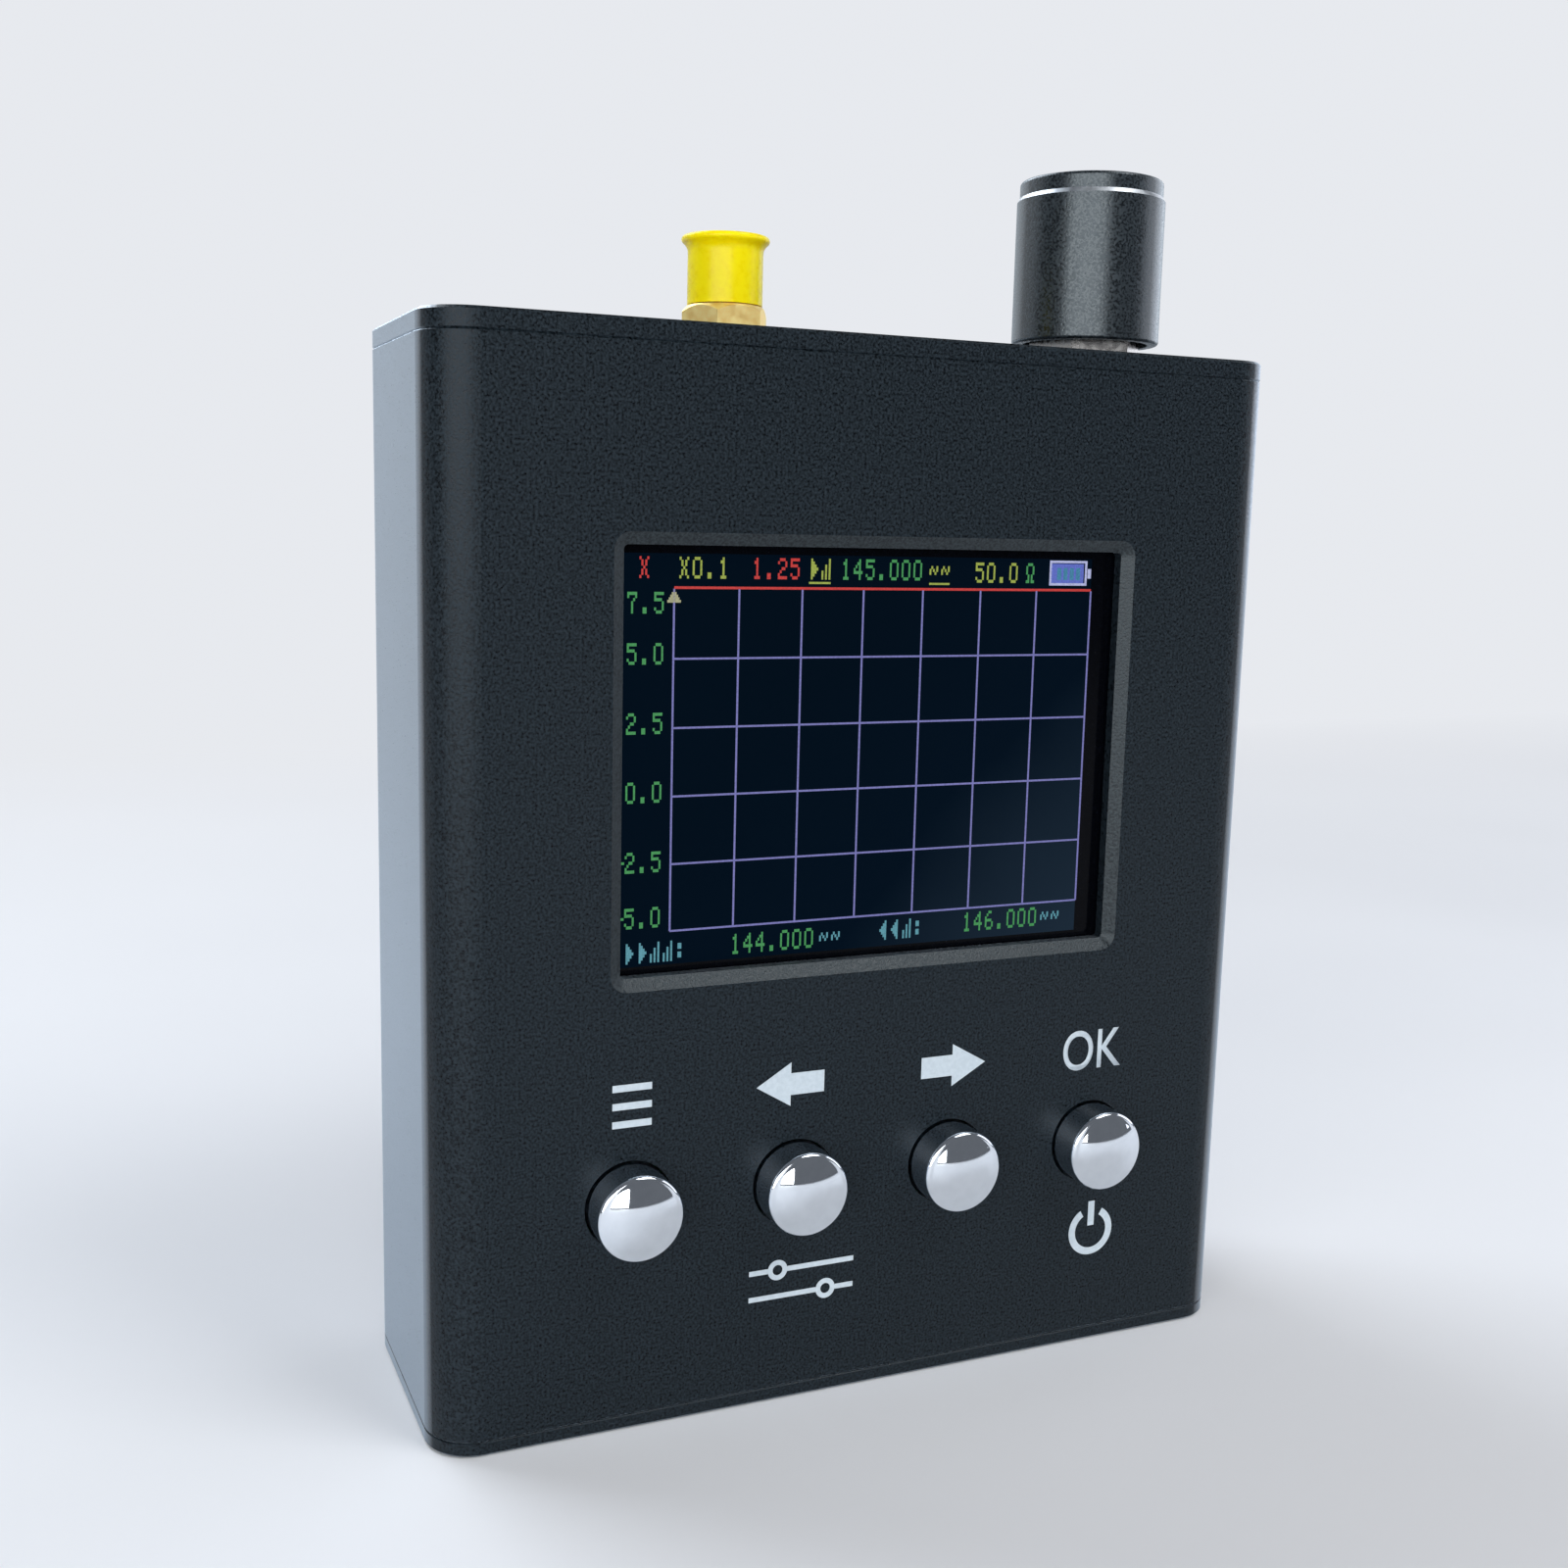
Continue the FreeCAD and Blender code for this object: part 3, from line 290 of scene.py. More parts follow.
# %% Finish of every carried-over node
finish_of_slot = {
    "black_anodised": anodised, "black_screw": black_screw, "foam": foam,
    "display_glass": glass_black, "white_plastic": white_plastic,
    "black_plastic": black_plastic, "ribbon_film": ribbon_film,
    "circuit_board": board_green, "tin": tin, "brass": brass, "gold_contact": gold,
    "nickel": nickel, "coax_jacket": coax_jacket, "yellow_plastic": yellow, "zinc": zinc,
    "clear_plastic": light_pipe, "battery_wrap": battery_foil, "red_lead": red_lead,
    "black_lead": black_lead, "chrome": chrome,
}
slot_of_node = {entry["node"]: entry["material_slot"] for entry in frame["record"]["subparts"]}
for name, node in nodes.items():
    node.data.materials.clear()
    node.data.materials.append(finish_of_slot[slot_of_node[name]])
# The washer is made dark: painted shade under the knob.
nodes["encoder_washer"].data.materials[0] = washer_painted_shade
print("finishes given to", len(nodes), "nodes")

# %% [markdown]
# The window's bevel is milled and then blasted with the case. In the photograph it is
# paler and more speckled than the front, where its slopes catch the light, so its finish is a
# paler copy of the case's: painted light. It keeps its place in the case and gets a material
# slot of its own, given to the faces that slope between the front face and the window's
# straight edge.

# %% Milled bevel of the window
BEVEL_DEPTH = 0.75 * MM
BEVEL_REACH_X = 26.5 * MM
BEVEL_LOWEST, BEVEL_HIGHEST = 41.5 * MM, 81.7 * MM
SLOPE_LEAST, SLOPE_MOST = 0.3, 0.95
case_mesh = nodes["case_body"].data
case_mesh.materials.append(bevel_with_painted_light)
bevel_faces = 0
for polygon in case_mesh.polygons:
    inside_x = abs(polygon.center.x) < BEVEL_REACH_X
    inside_z = BEVEL_LOWEST < polygon.center.z < BEVEL_HIGHEST
    sloped = SLOPE_LEAST < -polygon.normal.y < SLOPE_MOST
    shallow = front_y < polygon.center.y < front_y + BEVEL_DEPTH
    if inside_x and inside_z and sloped and shallow:
        polygon.material_index = 1
        bevel_faces += 1
print("bevel faces", bevel_faces)

# %% [markdown]
# New pieces start as a bmesh. One helper turns a finished bmesh into an object that rides
# on a body, takes its finish and stands in for a node. Its place stays in the mesh. Two more
# helpers draw an arc and spin a profile, because round pieces are turned on the real
# object too.

# %% Piece helpers
SMOOTH_ANGLE = math.radians(35)
MERGE_REACH = 1e-7
LATHE_STEPS = 96


def make_piece(name, bm, body, material, stands_for=(), smooth=True):
    """Turn a bmesh into an object, with its normals, finish and body."""
    bmesh.ops.remove_doubles(bm, verts=bm.verts, dist=MERGE_REACH)
    bmesh.ops.recalc_face_normals(bm, faces=bm.faces)
    mesh = bpy.data.meshes.new(name)
    bm.to_mesh(mesh)
    bm.free()
    if smooth:
        mesh.shade_smooth()
        mesh.set_sharp_from_angle(angle=SMOOTH_ANGLE)
    mesh.materials.append(material)
    piece = bpy.data.objects.new(name, mesh)
    bpy.context.scene.collection.objects.link(piece)
    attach(piece, body)
    if stands_for:
        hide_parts(*stands_for)


def arc_points(centre, radius, start, end, count):
    """Points of an arc in a profile, angles in degrees."""
    points = []
    for index in range(count + 1):
        angle = math.radians(start + (end - start) * index / count)
        points.append((centre[0] + radius * math.cos(angle),
                       centre[1] + radius * math.sin(angle)))
    return points


def lathe(profile, axis_point, axis="Z"):
    """Closed turned solid: a profile of (radius, height) spun about Z, or about Y."""
    bm = bmesh.new()
    ring = []
    for radius, height in profile:
        if axis == "Z":
            place = Vector((axis_point.x + radius, axis_point.y, height))
        else:
            place = Vector((axis_point.x + radius, height, axis_point.z))
        ring.append(bm.verts.new(place))
    closed = profile[0][0] > 0 and profile[-1][0] > 0
    edges = [bm.edges.new(pair) for pair in zip(ring, ring[1:])]
    if closed:
        edges.append(bm.edges.new((ring[-1], ring[0])))
    direction = Vector((0, 0, 1)) if axis == "Z" else Vector((0, 1, 0))
    bmesh.ops.spin(bm, geom=ring + edges, cent=axis_point, axis=direction,
                   angle=math.tau, steps=LATHE_STEPS, use_merge=True)
    return bm


print("piece helpers ready")

# %% [markdown]
# The four keys are domed caps of polished chrome. A mirror shows every facet, so they are
# spun again in many steps from the profile of the solid: straight side, small round
# shoulder, and a flat spherical crown. The shoulder's arc leans with the crown's rim, so
# the two meet without a ridge.

# %% Chrome key caps
KEY_DOME = 1.1 * MM
KEY_SHOULDER = 0.45 * MM
KEY_BORE = 1.72 * MM
KEY_BORE_DEPTH = 3.6 * MM
CROWN_STEPS, SHOULDER_STEPS = 16, 8
SHOULDER_SINK, SHOULDER_LEAN = 0.98, 0.6
for number in range(1, 5):
    node = f"key_{number}_cap"
    low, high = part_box(node)
    centre = middle(node)
    radius = (high.x - low.x) / 2
    apex_y, rear_y = low.y, high.y
    sphere = (radius ** 2 + KEY_DOME ** 2) / (2 * KEY_DOME)
    rim_angle = math.degrees(math.asin((radius - KEY_SHOULDER) / sphere))
    crown = []
    for index in range(CROWN_STEPS + 1):
        turn = math.radians(rim_angle * index / CROWN_STEPS)
        crown.append((sphere * math.sin(turn), apex_y + sphere * (1 - math.cos(turn))))
    rim_y = crown[-1][1]
    shoulder_centre = (radius - KEY_SHOULDER, rim_y + KEY_SHOULDER * SHOULDER_SINK)
    shoulder = arc_points(shoulder_centre, KEY_SHOULDER, -90 + rim_angle * SHOULDER_LEAN, 0,
                          SHOULDER_STEPS)
    bore_end_y = rear_y - KEY_BORE_DEPTH
    profile = crown + shoulder + [(radius, rear_y), (KEY_BORE, rear_y),
                                  (KEY_BORE, bore_end_y), (0.0, bore_end_y)]
    make_piece(f"key_cap_{number}", lathe(profile, Vector((centre.x, 0, centre.z)), "Y"),
               f"key_{number}", chrome, stands_for=(node,))
    print("key cap", number, "radius mm", round(radius / MM, 2))

# %% [markdown]
# The knob is a turned, blasted and anodised piece. After anodising, a tool cuts a thin
# bevel near its top, which stays bright. The solid's own mesh is fine enough to keep, with
# the hole for its grub screw, so the cut only gets a second material on its sloped faces.

# %% Bright cut of the knob
KNOB_CUT_HEIGHT = 13.9 * MM
KNOB_CUT_RISE = 0.42 * MM
NEAR_THE_SKIN = 0.9
knob_low, knob_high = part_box("knob")
knob_axis = middle("knob")
knob_radius = (knob_high.x - knob_low.x) / 2
cut_low = knob_low.z + KNOB_CUT_HEIGHT
knob_mesh = nodes["knob"].data
knob_mesh.materials[0] = knob_finish
knob_mesh.materials.append(cut_metal)
cut_faces = 0
for polygon in knob_mesh.polygons:
    across = (polygon.center - knob_axis).xy.length
    outside = across > NEAR_THE_SKIN * knob_radius
    if outside and 0 < polygon.center.z - cut_low < KNOB_CUT_RISE:
        polygon.material_index = 1
        cut_faces += 1
print("knob diameter mm", round(2 * knob_radius / MM, 2), "cut faces", cut_faces)

# %% [markdown]
# The dust cap is one thin moulding: a sleeve that flares into a rounded lip, with a
# shallow dish on top. It is spun from the solid's own sizes, in fine steps.

# %% Yellow dust cap
BARREL_RADIUS = 3.175 * MM
CAP_CLEARANCE = 0.05 * MM
CAP_WALL = 0.28 * MM
CAP_BORE = BARREL_RADIUS + CAP_CLEARANCE
CAP_OUTSIDE = CAP_BORE + CAP_WALL
CAP_LIP = 0.36 * MM
CAP_DISH = 0.45 * MM
CAP_DISH_SLOPE = 0.5 * MM
CAP_ROOF = 0.75 * MM
CAP_FLARE = 0.9 * MM
FLARE_CURVE = 2.2
FLARE_STEPS, LIP_STEPS = 8, 12
cap_low, cap_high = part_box("dust_cap")
cap_axis = middle("dust_cap")
lip_centre = ((cap_high.x - cap_low.x) / 2 - CAP_LIP, cap_high.z - CAP_LIP)
lip = arc_points(lip_centre, CAP_LIP, -45, 90, LIP_STEPS)
roof_z = cap_high.z - CAP_DISH
ceiling_z = roof_z - CAP_ROOF
dish = lip_centre[0] - CAP_LIP
flare = []
for index in range(FLARE_STEPS + 1):
    share = index / FLARE_STEPS
    swell = share ** FLARE_CURVE
    flare.append((CAP_OUTSIDE + (lip[0][0] - CAP_OUTSIDE) * swell,
                  lip[0][1] - CAP_FLARE * (1 - share)))
profile = [(CAP_BORE, cap_low.z), (CAP_OUTSIDE, cap_low.z)] + flare + lip[1:]
profile += [(dish, cap_high.z), (dish - CAP_DISH_SLOPE, roof_z), (0.0, roof_z),
            (0.0, ceiling_z), (CAP_BORE, ceiling_z)]
make_piece("dust_cap_skin", lathe(profile, cap_axis), "port_cap",
           yellow, stands_for=("dust_cap",))
print("dust cap height mm", round((cap_high.z - cap_low.z) / MM, 2))

# %% [markdown]
# The display shows a measuring screen: a grid of seven by five cells, an axis of plain
# numbers, and rows of small signs. On the real panel all of this is made of square dots,
# so it is built here as dots, on a grid of 320 by 240, from a small table of figures. Each
# figure is seven rows of five dots, where a 1 is lit, and its dots are larger than the
# panel's.

# %% Dot font and screen helpers
DOT = 0.153 * MM
SCREEN_LEFT = -26.22 * MM
SCREEN_TOP = 79.79 * MM
PICTURE_LIFT = 0.03 * MM
PICTURE_DEPTH = 0.02 * MM
FIGURES = {
    "0": "01110 10001 10001 10001 10001 10001 01110",
    "1": "00100 01100 00100 00100 00100 00100 01110",
    "2": "01110 10001 00001 00110 01000 10000 11111",
    "3": "01110 10001 00001 00110 00001 10001 01110",
    "4": "00010 00110 01010 10010 11111 00010 00010",
    "5": "11111 10000 11110 00001 00001 10001 01110",
    "6": "00110 01000 10000 11110 10001 10001 01110",
    "7": "11111 10001 00010 00100 00100 00100 00100",
    "8": "01110 10001 10001 01110 10001 10001 01110",
    "9": "01110 10001 10001 01111 00001 00010 01100",
    ".": "00000 00000 00000 00000 00000 01100 01100",
    "x": "10001 01010 01010 00100 01010 01010 10001",
    "ohm": "01110 10001 10001 10001 01010 01010 11011",
    "colon": "00000 01100 01100 00000 01100 01100 00000",
    "right": "01000 01100 01110 01111 01110 01100 01000",
    "left": "00010 00110 01110 11110 01110 00110 00010",
    "tilde": "00000 00000 01001 10101 10010 00000 00000",
    "bars": "00001 00001 00101 00101 10101 10101 10101",
}
FIGURE_COLUMNS, FIGURE_ROWS = 5, 7
CHARACTER_PITCH = 8.0
DOT_WIDE = 1.15
DOT_HIGH = 1.75
MINUS_INDENT, MINUS_RISE = 0.6, 0.8
MINUS_WIDE, MINUS_HIGH = 7.0, 1.5
DIMMEST, BRIGHTEST = 0.85, 1.1
UNLIT = (0.0, 0.0, 0.0)


def block(bm, left, top, width, height):
    """One lit block of the screen, in dots from the screen's top left corner."""
    centre = Vector((SCREEN_LEFT + (left + width / 2) * DOT,
                     glass_front_y - PICTURE_LIFT - PICTURE_DEPTH / 2,
                     SCREEN_TOP - (top + height / 2) * DOT))
    size = Matrix.Diagonal((width * DOT, PICTURE_DEPTH, height * DOT, 1.0))
    bmesh.ops.create_cube(bm, size=1.0, matrix=Matrix.Translation(centre) @ size)


def write(bm, characters, left, middle_row):
    """A row of figures and signs, from the left, centred on a row of dots."""
    top = middle_row - FIGURE_ROWS / 2 * DOT_HIGH
    for place, character in enumerate(characters):
        start = left + place * CHARACTER_PITCH
        if character == "-":
            block(bm, start + MINUS_INDENT, middle_row - MINUS_RISE, MINUS_WIDE, MINUS_HIGH)
            continue
        for row, cells in enumerate(FIGURES[character].split()):
            column = 0
            while column < FIGURE_COLUMNS:
                run = 0
                while column + run < FIGURE_COLUMNS and cells[column + run] == "1":
                    run += 1
                if run:
                    block(bm, start + column * DOT_WIDE, top + row * DOT_HIGH,
                          run * DOT_WIDE, DOT_HIGH)
                column += max(run, 1)


def glow(name, colour, strength):
    """Glowing colour of one kind of dot, slightly uneven from dot to dot."""
    material, shader = new_material(name, UNLIT, 0.6)
    shader.inputs["Emission Color"].default_value = (*colour, 1.0)
    value = object_noise(material, 1.0 / DOT, detail=0.0)
    link = material.node_tree.links.new
    link(spread(material, value, strength * DIMMEST, strength * BRIGHTEST),
         shader.inputs["Emission Strength"])
    return material


def screen_piece(name, finish, blocks=(), rows=()):
    """One piece of the lit picture: blocks, and rows of figures, all of one colour."""
    bm = bmesh.new()
    for left, top, width, height in blocks:
        block(bm, left, top, width, height)
    for characters, left, middle_row in rows:
        write(bm, characters, left, middle_row)
    make_piece(name, bm, "case", finish, smooth=False)


print("characters in the font", len(FIGURES))

# %% [markdown]
# An unlit dot of such a panel is never quite black: the lamp behind it leaks a little. A
# thin dark sheet under the picture glows faintly blue for that leak, and brighter towards the
# lower right, where the glow is a painted reflection. The slope is the distance to the right
# less the height, in metres, and a slow noise makes its edge cloudy.

# %% Leak of the panel's lamp and a painted reflection
PANEL_WIDE, PANEL_HIGH = 320, 240
# Where the painted reflection towards the lower right starts and where it is full, then the
# sheet's colours.
PAINTED_REFLECTION_STARTS, PAINTED_REFLECTION_FULL = -0.075, -0.018
CLOUD_SCALE, CLOUD_SHARE = 60.0, 0.16
LEAK_FAINT = (0.0002, 0.0028, 0.0080, 1.0)
LEAK_AND_REFLECTION_MIDDLE = (0.0004, 0.0035, 0.010, 1.0)
LEAK_AND_REFLECTION_STRONG = (0.011, 0.021, 0.036, 1.0)
LEAK_AND_REFLECTION_SINK = 1.2 * PICTURE_DEPTH
# The sheet glows with the panel's faint leak and, towards the lower right, a painted reflection.
leak_and_reflection, shader = new_material("screen_leak_and_painted_reflection", UNLIT, 0.5)
shader.inputs["Specular IOR Level"].default_value = 0.05
shader.inputs["Specular Tint"].default_value = (0.3, 0.7, 1.0, 1.0)
shader.inputs["Emission Strength"].default_value = 1.0
tree = leak_and_reflection.node_tree
place = tree.nodes.new("ShaderNodeTexCoord")
split = tree.nodes.new("ShaderNodeSeparateXYZ")
tree.links.new(place.outputs["Object"], split.inputs["Vector"])
slope = tree.nodes.new("ShaderNodeMath")
slope.operation = "SUBTRACT"
tree.links.new(split.outputs["X"], slope.inputs[0])
tree.links.new(split.outputs["Z"], slope.inputs[1])
reach = spread(leak_and_reflection, slope.outputs["Value"], 0.0, 1.0, PAINTED_REFLECTION_STARTS, PAINTED_REFLECTION_FULL)
cloudy = tree.nodes.new("ShaderNodeMath")
cloudy.operation = "MULTIPLY_ADD"
tree.links.new(object_noise(leak_and_reflection, CLOUD_SCALE), cloudy.inputs[0])
cloudy.inputs[1].default_value = CLOUD_SHARE
tree.links.new(reach, cloudy.inputs[2])
ramp = tree.nodes.new("ShaderNodeValToRGB")
ramp.color_ramp.elements[0].position = 0.1
ramp.color_ramp.elements[0].color = LEAK_FAINT
ramp.color_ramp.elements[1].position = 1.0
ramp.color_ramp.elements[1].color = LEAK_AND_REFLECTION_STRONG
middle_tone = ramp.color_ramp.elements.new(0.55)
middle_tone.color = LEAK_AND_REFLECTION_MIDDLE
tree.links.new(cloudy.outputs["Value"], ramp.inputs["Fac"])
tree.links.new(ramp.outputs["Color"], shader.inputs["Emission Color"])
bm = bmesh.new()
block(bm, 0, 0, PANEL_WIDE, PANEL_HIGH)
bmesh.ops.translate(bm, verts=bm.verts, vec=(0, LEAK_AND_REFLECTION_SINK, 0))
make_piece("screen_leak_and_painted_reflection", bm, "case", leak_and_reflection, smooth=False)
print("panel", PANEL_WIDE, "by", PANEL_HIGH, "dots")

# %% [markdown]
# The grid is even and dim, seven cells wide and five high, so that a curve on it can be
# read. Its top line is red. Each colour of the picture is one piece, because one colour of
# light is one material. Places are in dots from the panel's top left corner.

# %% Screen grid
GRID_LEFT, GRID_TOP, CELL = 40, 20, 40
GRID_COLUMNS, GRID_ROWS = 7, 5
GRID_WIDE, GRID_HIGH = GRID_COLUMNS * CELL, GRID_ROWS * CELL
LINE = 1.15
TOP_LINE_RISE, TOP_LINE_HIGH = 1.2 * LINE, 1.3 * LINE
HEADER_ROW, FOOTER_ROW = 8, 230
lavender = glow("screen_lavender", (0.20, 0.20, 0.52), 0.8)
upright_lines = [(GRID_LEFT + column * CELL - LINE / 2, GRID_TOP, LINE, GRID_HIGH)
                 for column in range(GRID_COLUMNS + 1)]
level_lines = [(GRID_LEFT, GRID_TOP + row * CELL - LINE / 2, GRID_WIDE, LINE)
               for row in range(1, GRID_ROWS + 1)]
screen_piece("screen_grid", lavender, upright_lines + level_lines)

red = glow("screen_red", (0.62, 0.03, 0.025), 0.8)
top_line = (GRID_LEFT, GRID_TOP - TOP_LINE_RISE, GRID_WIDE, TOP_LINE_HIGH)
screen_piece("screen_red_marks", red, [top_line],
             [(["x"], 19, HEADER_ROW), (list("1.25"), 88, HEADER_ROW)])
print("grid cells", GRID_COLUMNS * GRID_ROWS)

# %% [markdown]
# Numbers for the grid's levels stand left of it, and end at the same place whatever their
# length. The header and the footer hold numbers and small signs, a dot or two off one line
# as in the photograph. Each entry is the row's signs, its left end and its middle row.

# %% Screen figures
AXIS_NUMBERS = {28: "7.5", 57: "5.0", 97: "2.5", 137: "0.0", 178: "-2.5", 211: "-5.0"}
AXIS_GAP = 4
UNDERLINE_TOP, UNDERLINE_WIDE, UNDERLINE_HIGH = 15.5, 14, 1.2
green = glow("screen_green", (0.05, 0.34, 0.09), 0.75)
axis_rows = [(list(number), GRID_LEFT - AXIS_GAP - CHARACTER_PITCH * len(number), row)
             for row, number in AXIS_NUMBERS.items()]
screen_piece("screen_green_figures", green, rows=axis_rows + [
    (list("145.000"), 145, HEADER_ROW), (list("144.000"), 79, FOOTER_ROW + 1),
    (list("146.000"), 237, FOOTER_ROW - 1), (["ohm"], 272, HEADER_ROW + 1)])

lime = glow("screen_lime", (0.36, 0.44, 0.06), 0.8)
underlines = [(left, UNDERLINE_TOP, UNDERLINE_WIDE, UNDERLINE_HIGH) for left in (124, 204)]
screen_piece("screen_lime_figures", lime, underlines, [
    (["x", "0", ".", "1"], 43, HEADER_ROW), (["right", "bars"], 124, HEADER_ROW),
    (["tilde", "tilde"], 204, HEADER_ROW), (list("50.0"), 236, HEADER_ROW + 1)])

cyan = glow("screen_cyan", (0.10, 0.34, 0.42), 0.8)
screen_piece("screen_cyan_marks", cyan, rows=[
    (["right", "right", "bars", "bars", "colon"], 12, FOOTER_ROW + 2),
    (["tilde", "tilde"], 137, FOOTER_ROW + 1),
    (["left", "left", "bars", "colon"], 178, FOOTER_ROW),
    (["tilde", "tilde"], 294, FOOTER_ROW - 1)])
print("axis numbers", len(AXIS_NUMBERS))

# %% [markdown]
# The battery sign is a blue field with four bars in a pale rim, with a tip on its right.
# The marker is a small pointer at the grid's top left corner, wider with each row down.

# %% Battery sign and marker
FIELD_LEFT, FIELD_TOP, FIELD_WIDE, FIELD_HIGH = 290, 3, 24, 12
BARS, BAR_PITCH = 4, 4.6
BAR_LEFT, BAR_TOP, BAR_WIDE, BAR_HIGH = 294.5, 5.5, 3.0, 7.5
RIM_LEFT, RIM_RIGHT, RIM_TOP, RIM_FOOT = 289, 315, 1, 15
RIM_WIDE, RIM_HIGH, RIM_LINE = 27, 15.5, 1.5
TIP_LEFT, TIP_TOP, TIP_WIDE, TIP_HIGH = 317, 6, 2.5, 6
MARKER_ROWS, MARKER_STEP = 5, 1.5
MARKER_START, MARKER_GROWTH, MARKER_DROP = 1.0, 1.8, 0.4
battery_blue = glow("screen_blue", (0.10, 0.14, 0.55), 0.9)
screen_piece("screen_battery_fill", battery_blue,
             [(FIELD_LEFT, FIELD_TOP, FIELD_WIDE, FIELD_HIGH)])
teal = glow("screen_teal", (0.06, 0.30, 0.34), 0.8)
screen_piece("screen_battery_bars", teal,
             [(BAR_LEFT + BAR_PITCH * bar, BAR_TOP, BAR_WIDE, BAR_HIGH) for bar in range(BARS)])
pale = glow("screen_pale", (0.45, 0.48, 0.75), 0.9)
screen_piece("screen_pale_marks", pale, [
    (RIM_LEFT, RIM_TOP, RIM_WIDE, RIM_LINE), (RIM_LEFT, RIM_FOOT, RIM_WIDE, RIM_LINE),
    (RIM_LEFT, RIM_TOP, RIM_LINE, RIM_HIGH), (RIM_RIGHT, RIM_TOP, RIM_LINE, RIM_HIGH),
    (TIP_LEFT, TIP_TOP, TIP_WIDE, TIP_HIGH)])
marker = glow("screen_marker", (0.42, 0.42, 0.24), 0.8)
pointer = []
for row in range(MARKER_ROWS):
    width = MARKER_START + MARKER_GROWTH * row
    pointer.append((GRID_LEFT - width / 2, GRID_TOP + MARKER_DROP + row * MARKER_STEP,
                    width, MARKER_STEP))
screen_piece("screen_marker", marker, pointer)
print("battery bars", BARS, "marker rows", MARKER_ROWS)

# %% [markdown]
# The legends on the front are screen-printed: a flat white ink, a few hundredths of a
# millimetre thick. A picture laid over the front would blur from near, so each sign is its
# own flat face, or a ring spun from a small section, with the thickness of the ink.

# %% Ink and legend helpers
ink, _ = grained("white_ink", (0.50, 0.58, 0.64), (0.56, 0.64, 0.70), 0.55, 0.0, 3000.0,
                 0.00001, strength=0.2)
INK_DEPTH = 0.02 * MM
INK_LIFT = 0.005 * MM
RING_STEPS = 48


def raise_ink(bm, faces):
    """Give flat faces the thickness of the ink."""
    grown = bmesh.ops.extrude_face_region(bm, geom=faces)
    moved = [item for item in grown["geom"] if isinstance(item, bmesh.types.BMVert)]
    bmesh.ops.translate(bm, verts=moved, vec=(0, -INK_DEPTH, 0))


def printed_outline(bm, corners):
    """Flat printed shape with the given (x, z) corners in millimetres."""
    y = front_y - INK_LIFT
    verts = [bm.verts.new((x * MM, y, z * MM)) for x, z in corners]
    raise_ink(bm, [bm.faces.new(verts)])


def printed_bar(bm, x0, x1, z0, z1):
    """Printed rectangle."""
    printed_outline(bm, [(x0, z0), (x1, z0), (x1, z1), (x0, z1)])


def printed_arc(bm, x, z, radius, width, start, end):
    """Printed ring or part of one, spun from a small section; angles from +X in degrees."""
    y = front_y - INK_LIFT
    inner, outer = (radius - width / 2) * MM, (radius + width / 2) * MM
    turn = math.radians(start)
    ray = Vector((math.cos(turn), 0, math.sin(turn)))
    centre = Vector((x * MM, 0, z * MM))
    corners = [(inner, y), (outer, y), (outer, y - INK_DEPTH), (inner, y - INK_DEPTH)]
    verts = []
    for reach, depth in corners:
        place = centre + ray * reach
        verts.append(bm.verts.new((place.x, depth, place.z)))
    full = abs(end - start) >= 360
    edges = [bm.edges.new(pair) for pair in zip(verts, verts[1:] + verts[:1])]
    geometry = verts + edges
    if not full:
        geometry.append(bm.faces.new(verts))
    bmesh.ops.spin(bm, geom=geometry, cent=centre, axis=(0, -1, 0),
                   angle=math.radians(end - start), steps=RING_STEPS, use_merge=full)


print("ink helpers ready")

# %% [markdown]
# Each key has its sign near it: three bars for a menu, two sliders to adjust, arrows to
# step left and right, and the power sign. Places are in millimetres from the middle of
# the case's foot, read from the photograph. An arrow is given by its tip, the base of its
# head and its tail.

# %% Printed legends
LEGEND_ROW = 31.2
ARROWS = ((-12.15, -8.7, -5.3), (11.95, 8.3, 4.95))
ARROW_HALF = 2.1
SHAFT_HALF = 1.05
bm = bmesh.new()
for tip, base, tail in ARROWS:
    printed_outline(bm, [(tip, LEGEND_ROW), (base, LEGEND_ROW + ARROW_HALF),
                         (base, LEGEND_ROW + SHAFT_HALF), (tail, LEGEND_ROW + SHAFT_HALF),
                         (tail, LEGEND_ROW - SHAFT_HALF), (base, LEGEND_ROW - SHAFT_HALF),
                         (base, LEGEND_ROW - ARROW_HALF)])
make_piece("legend_arrows", bm, "case", ink, smooth=False)

MENU_LEFT, MENU_RIGHT, MENU_LOW = -26.0, -22.3, 28.95
MENU_BARS, MENU_PITCH, MENU_BAR = 3, 1.68, 0.65
bm = bmesh.new()
for row in range(MENU_BARS):
    low = MENU_LOW + row * MENU_PITCH
    printed_bar(bm, MENU_LEFT, MENU_RIGHT, low, low + MENU_BAR)
make_piece("legend_menu", bm, "case", ink, smooth=False)

POWER_X, POWER_Z, POWER_RADIUS, POWER_LINE = 25.2, 11.85, 2.2, 0.75
POWER_START, POWER_END = 120, 420
STROKE_LEFT, STROKE_RIGHT, STROKE_LOW, STROKE_HIGH = 24.83, 25.57, 12.4, 15.0
bm = bmesh.new()
printed_arc(bm, POWER_X, POWER_Z, POWER_RADIUS, POWER_LINE, POWER_START, POWER_END)
printed_bar(bm, STROKE_LEFT, STROKE_RIGHT, STROKE_LOW, STROKE_HIGH)
make_piece("legend_power", bm, "case", ink, smooth=False)

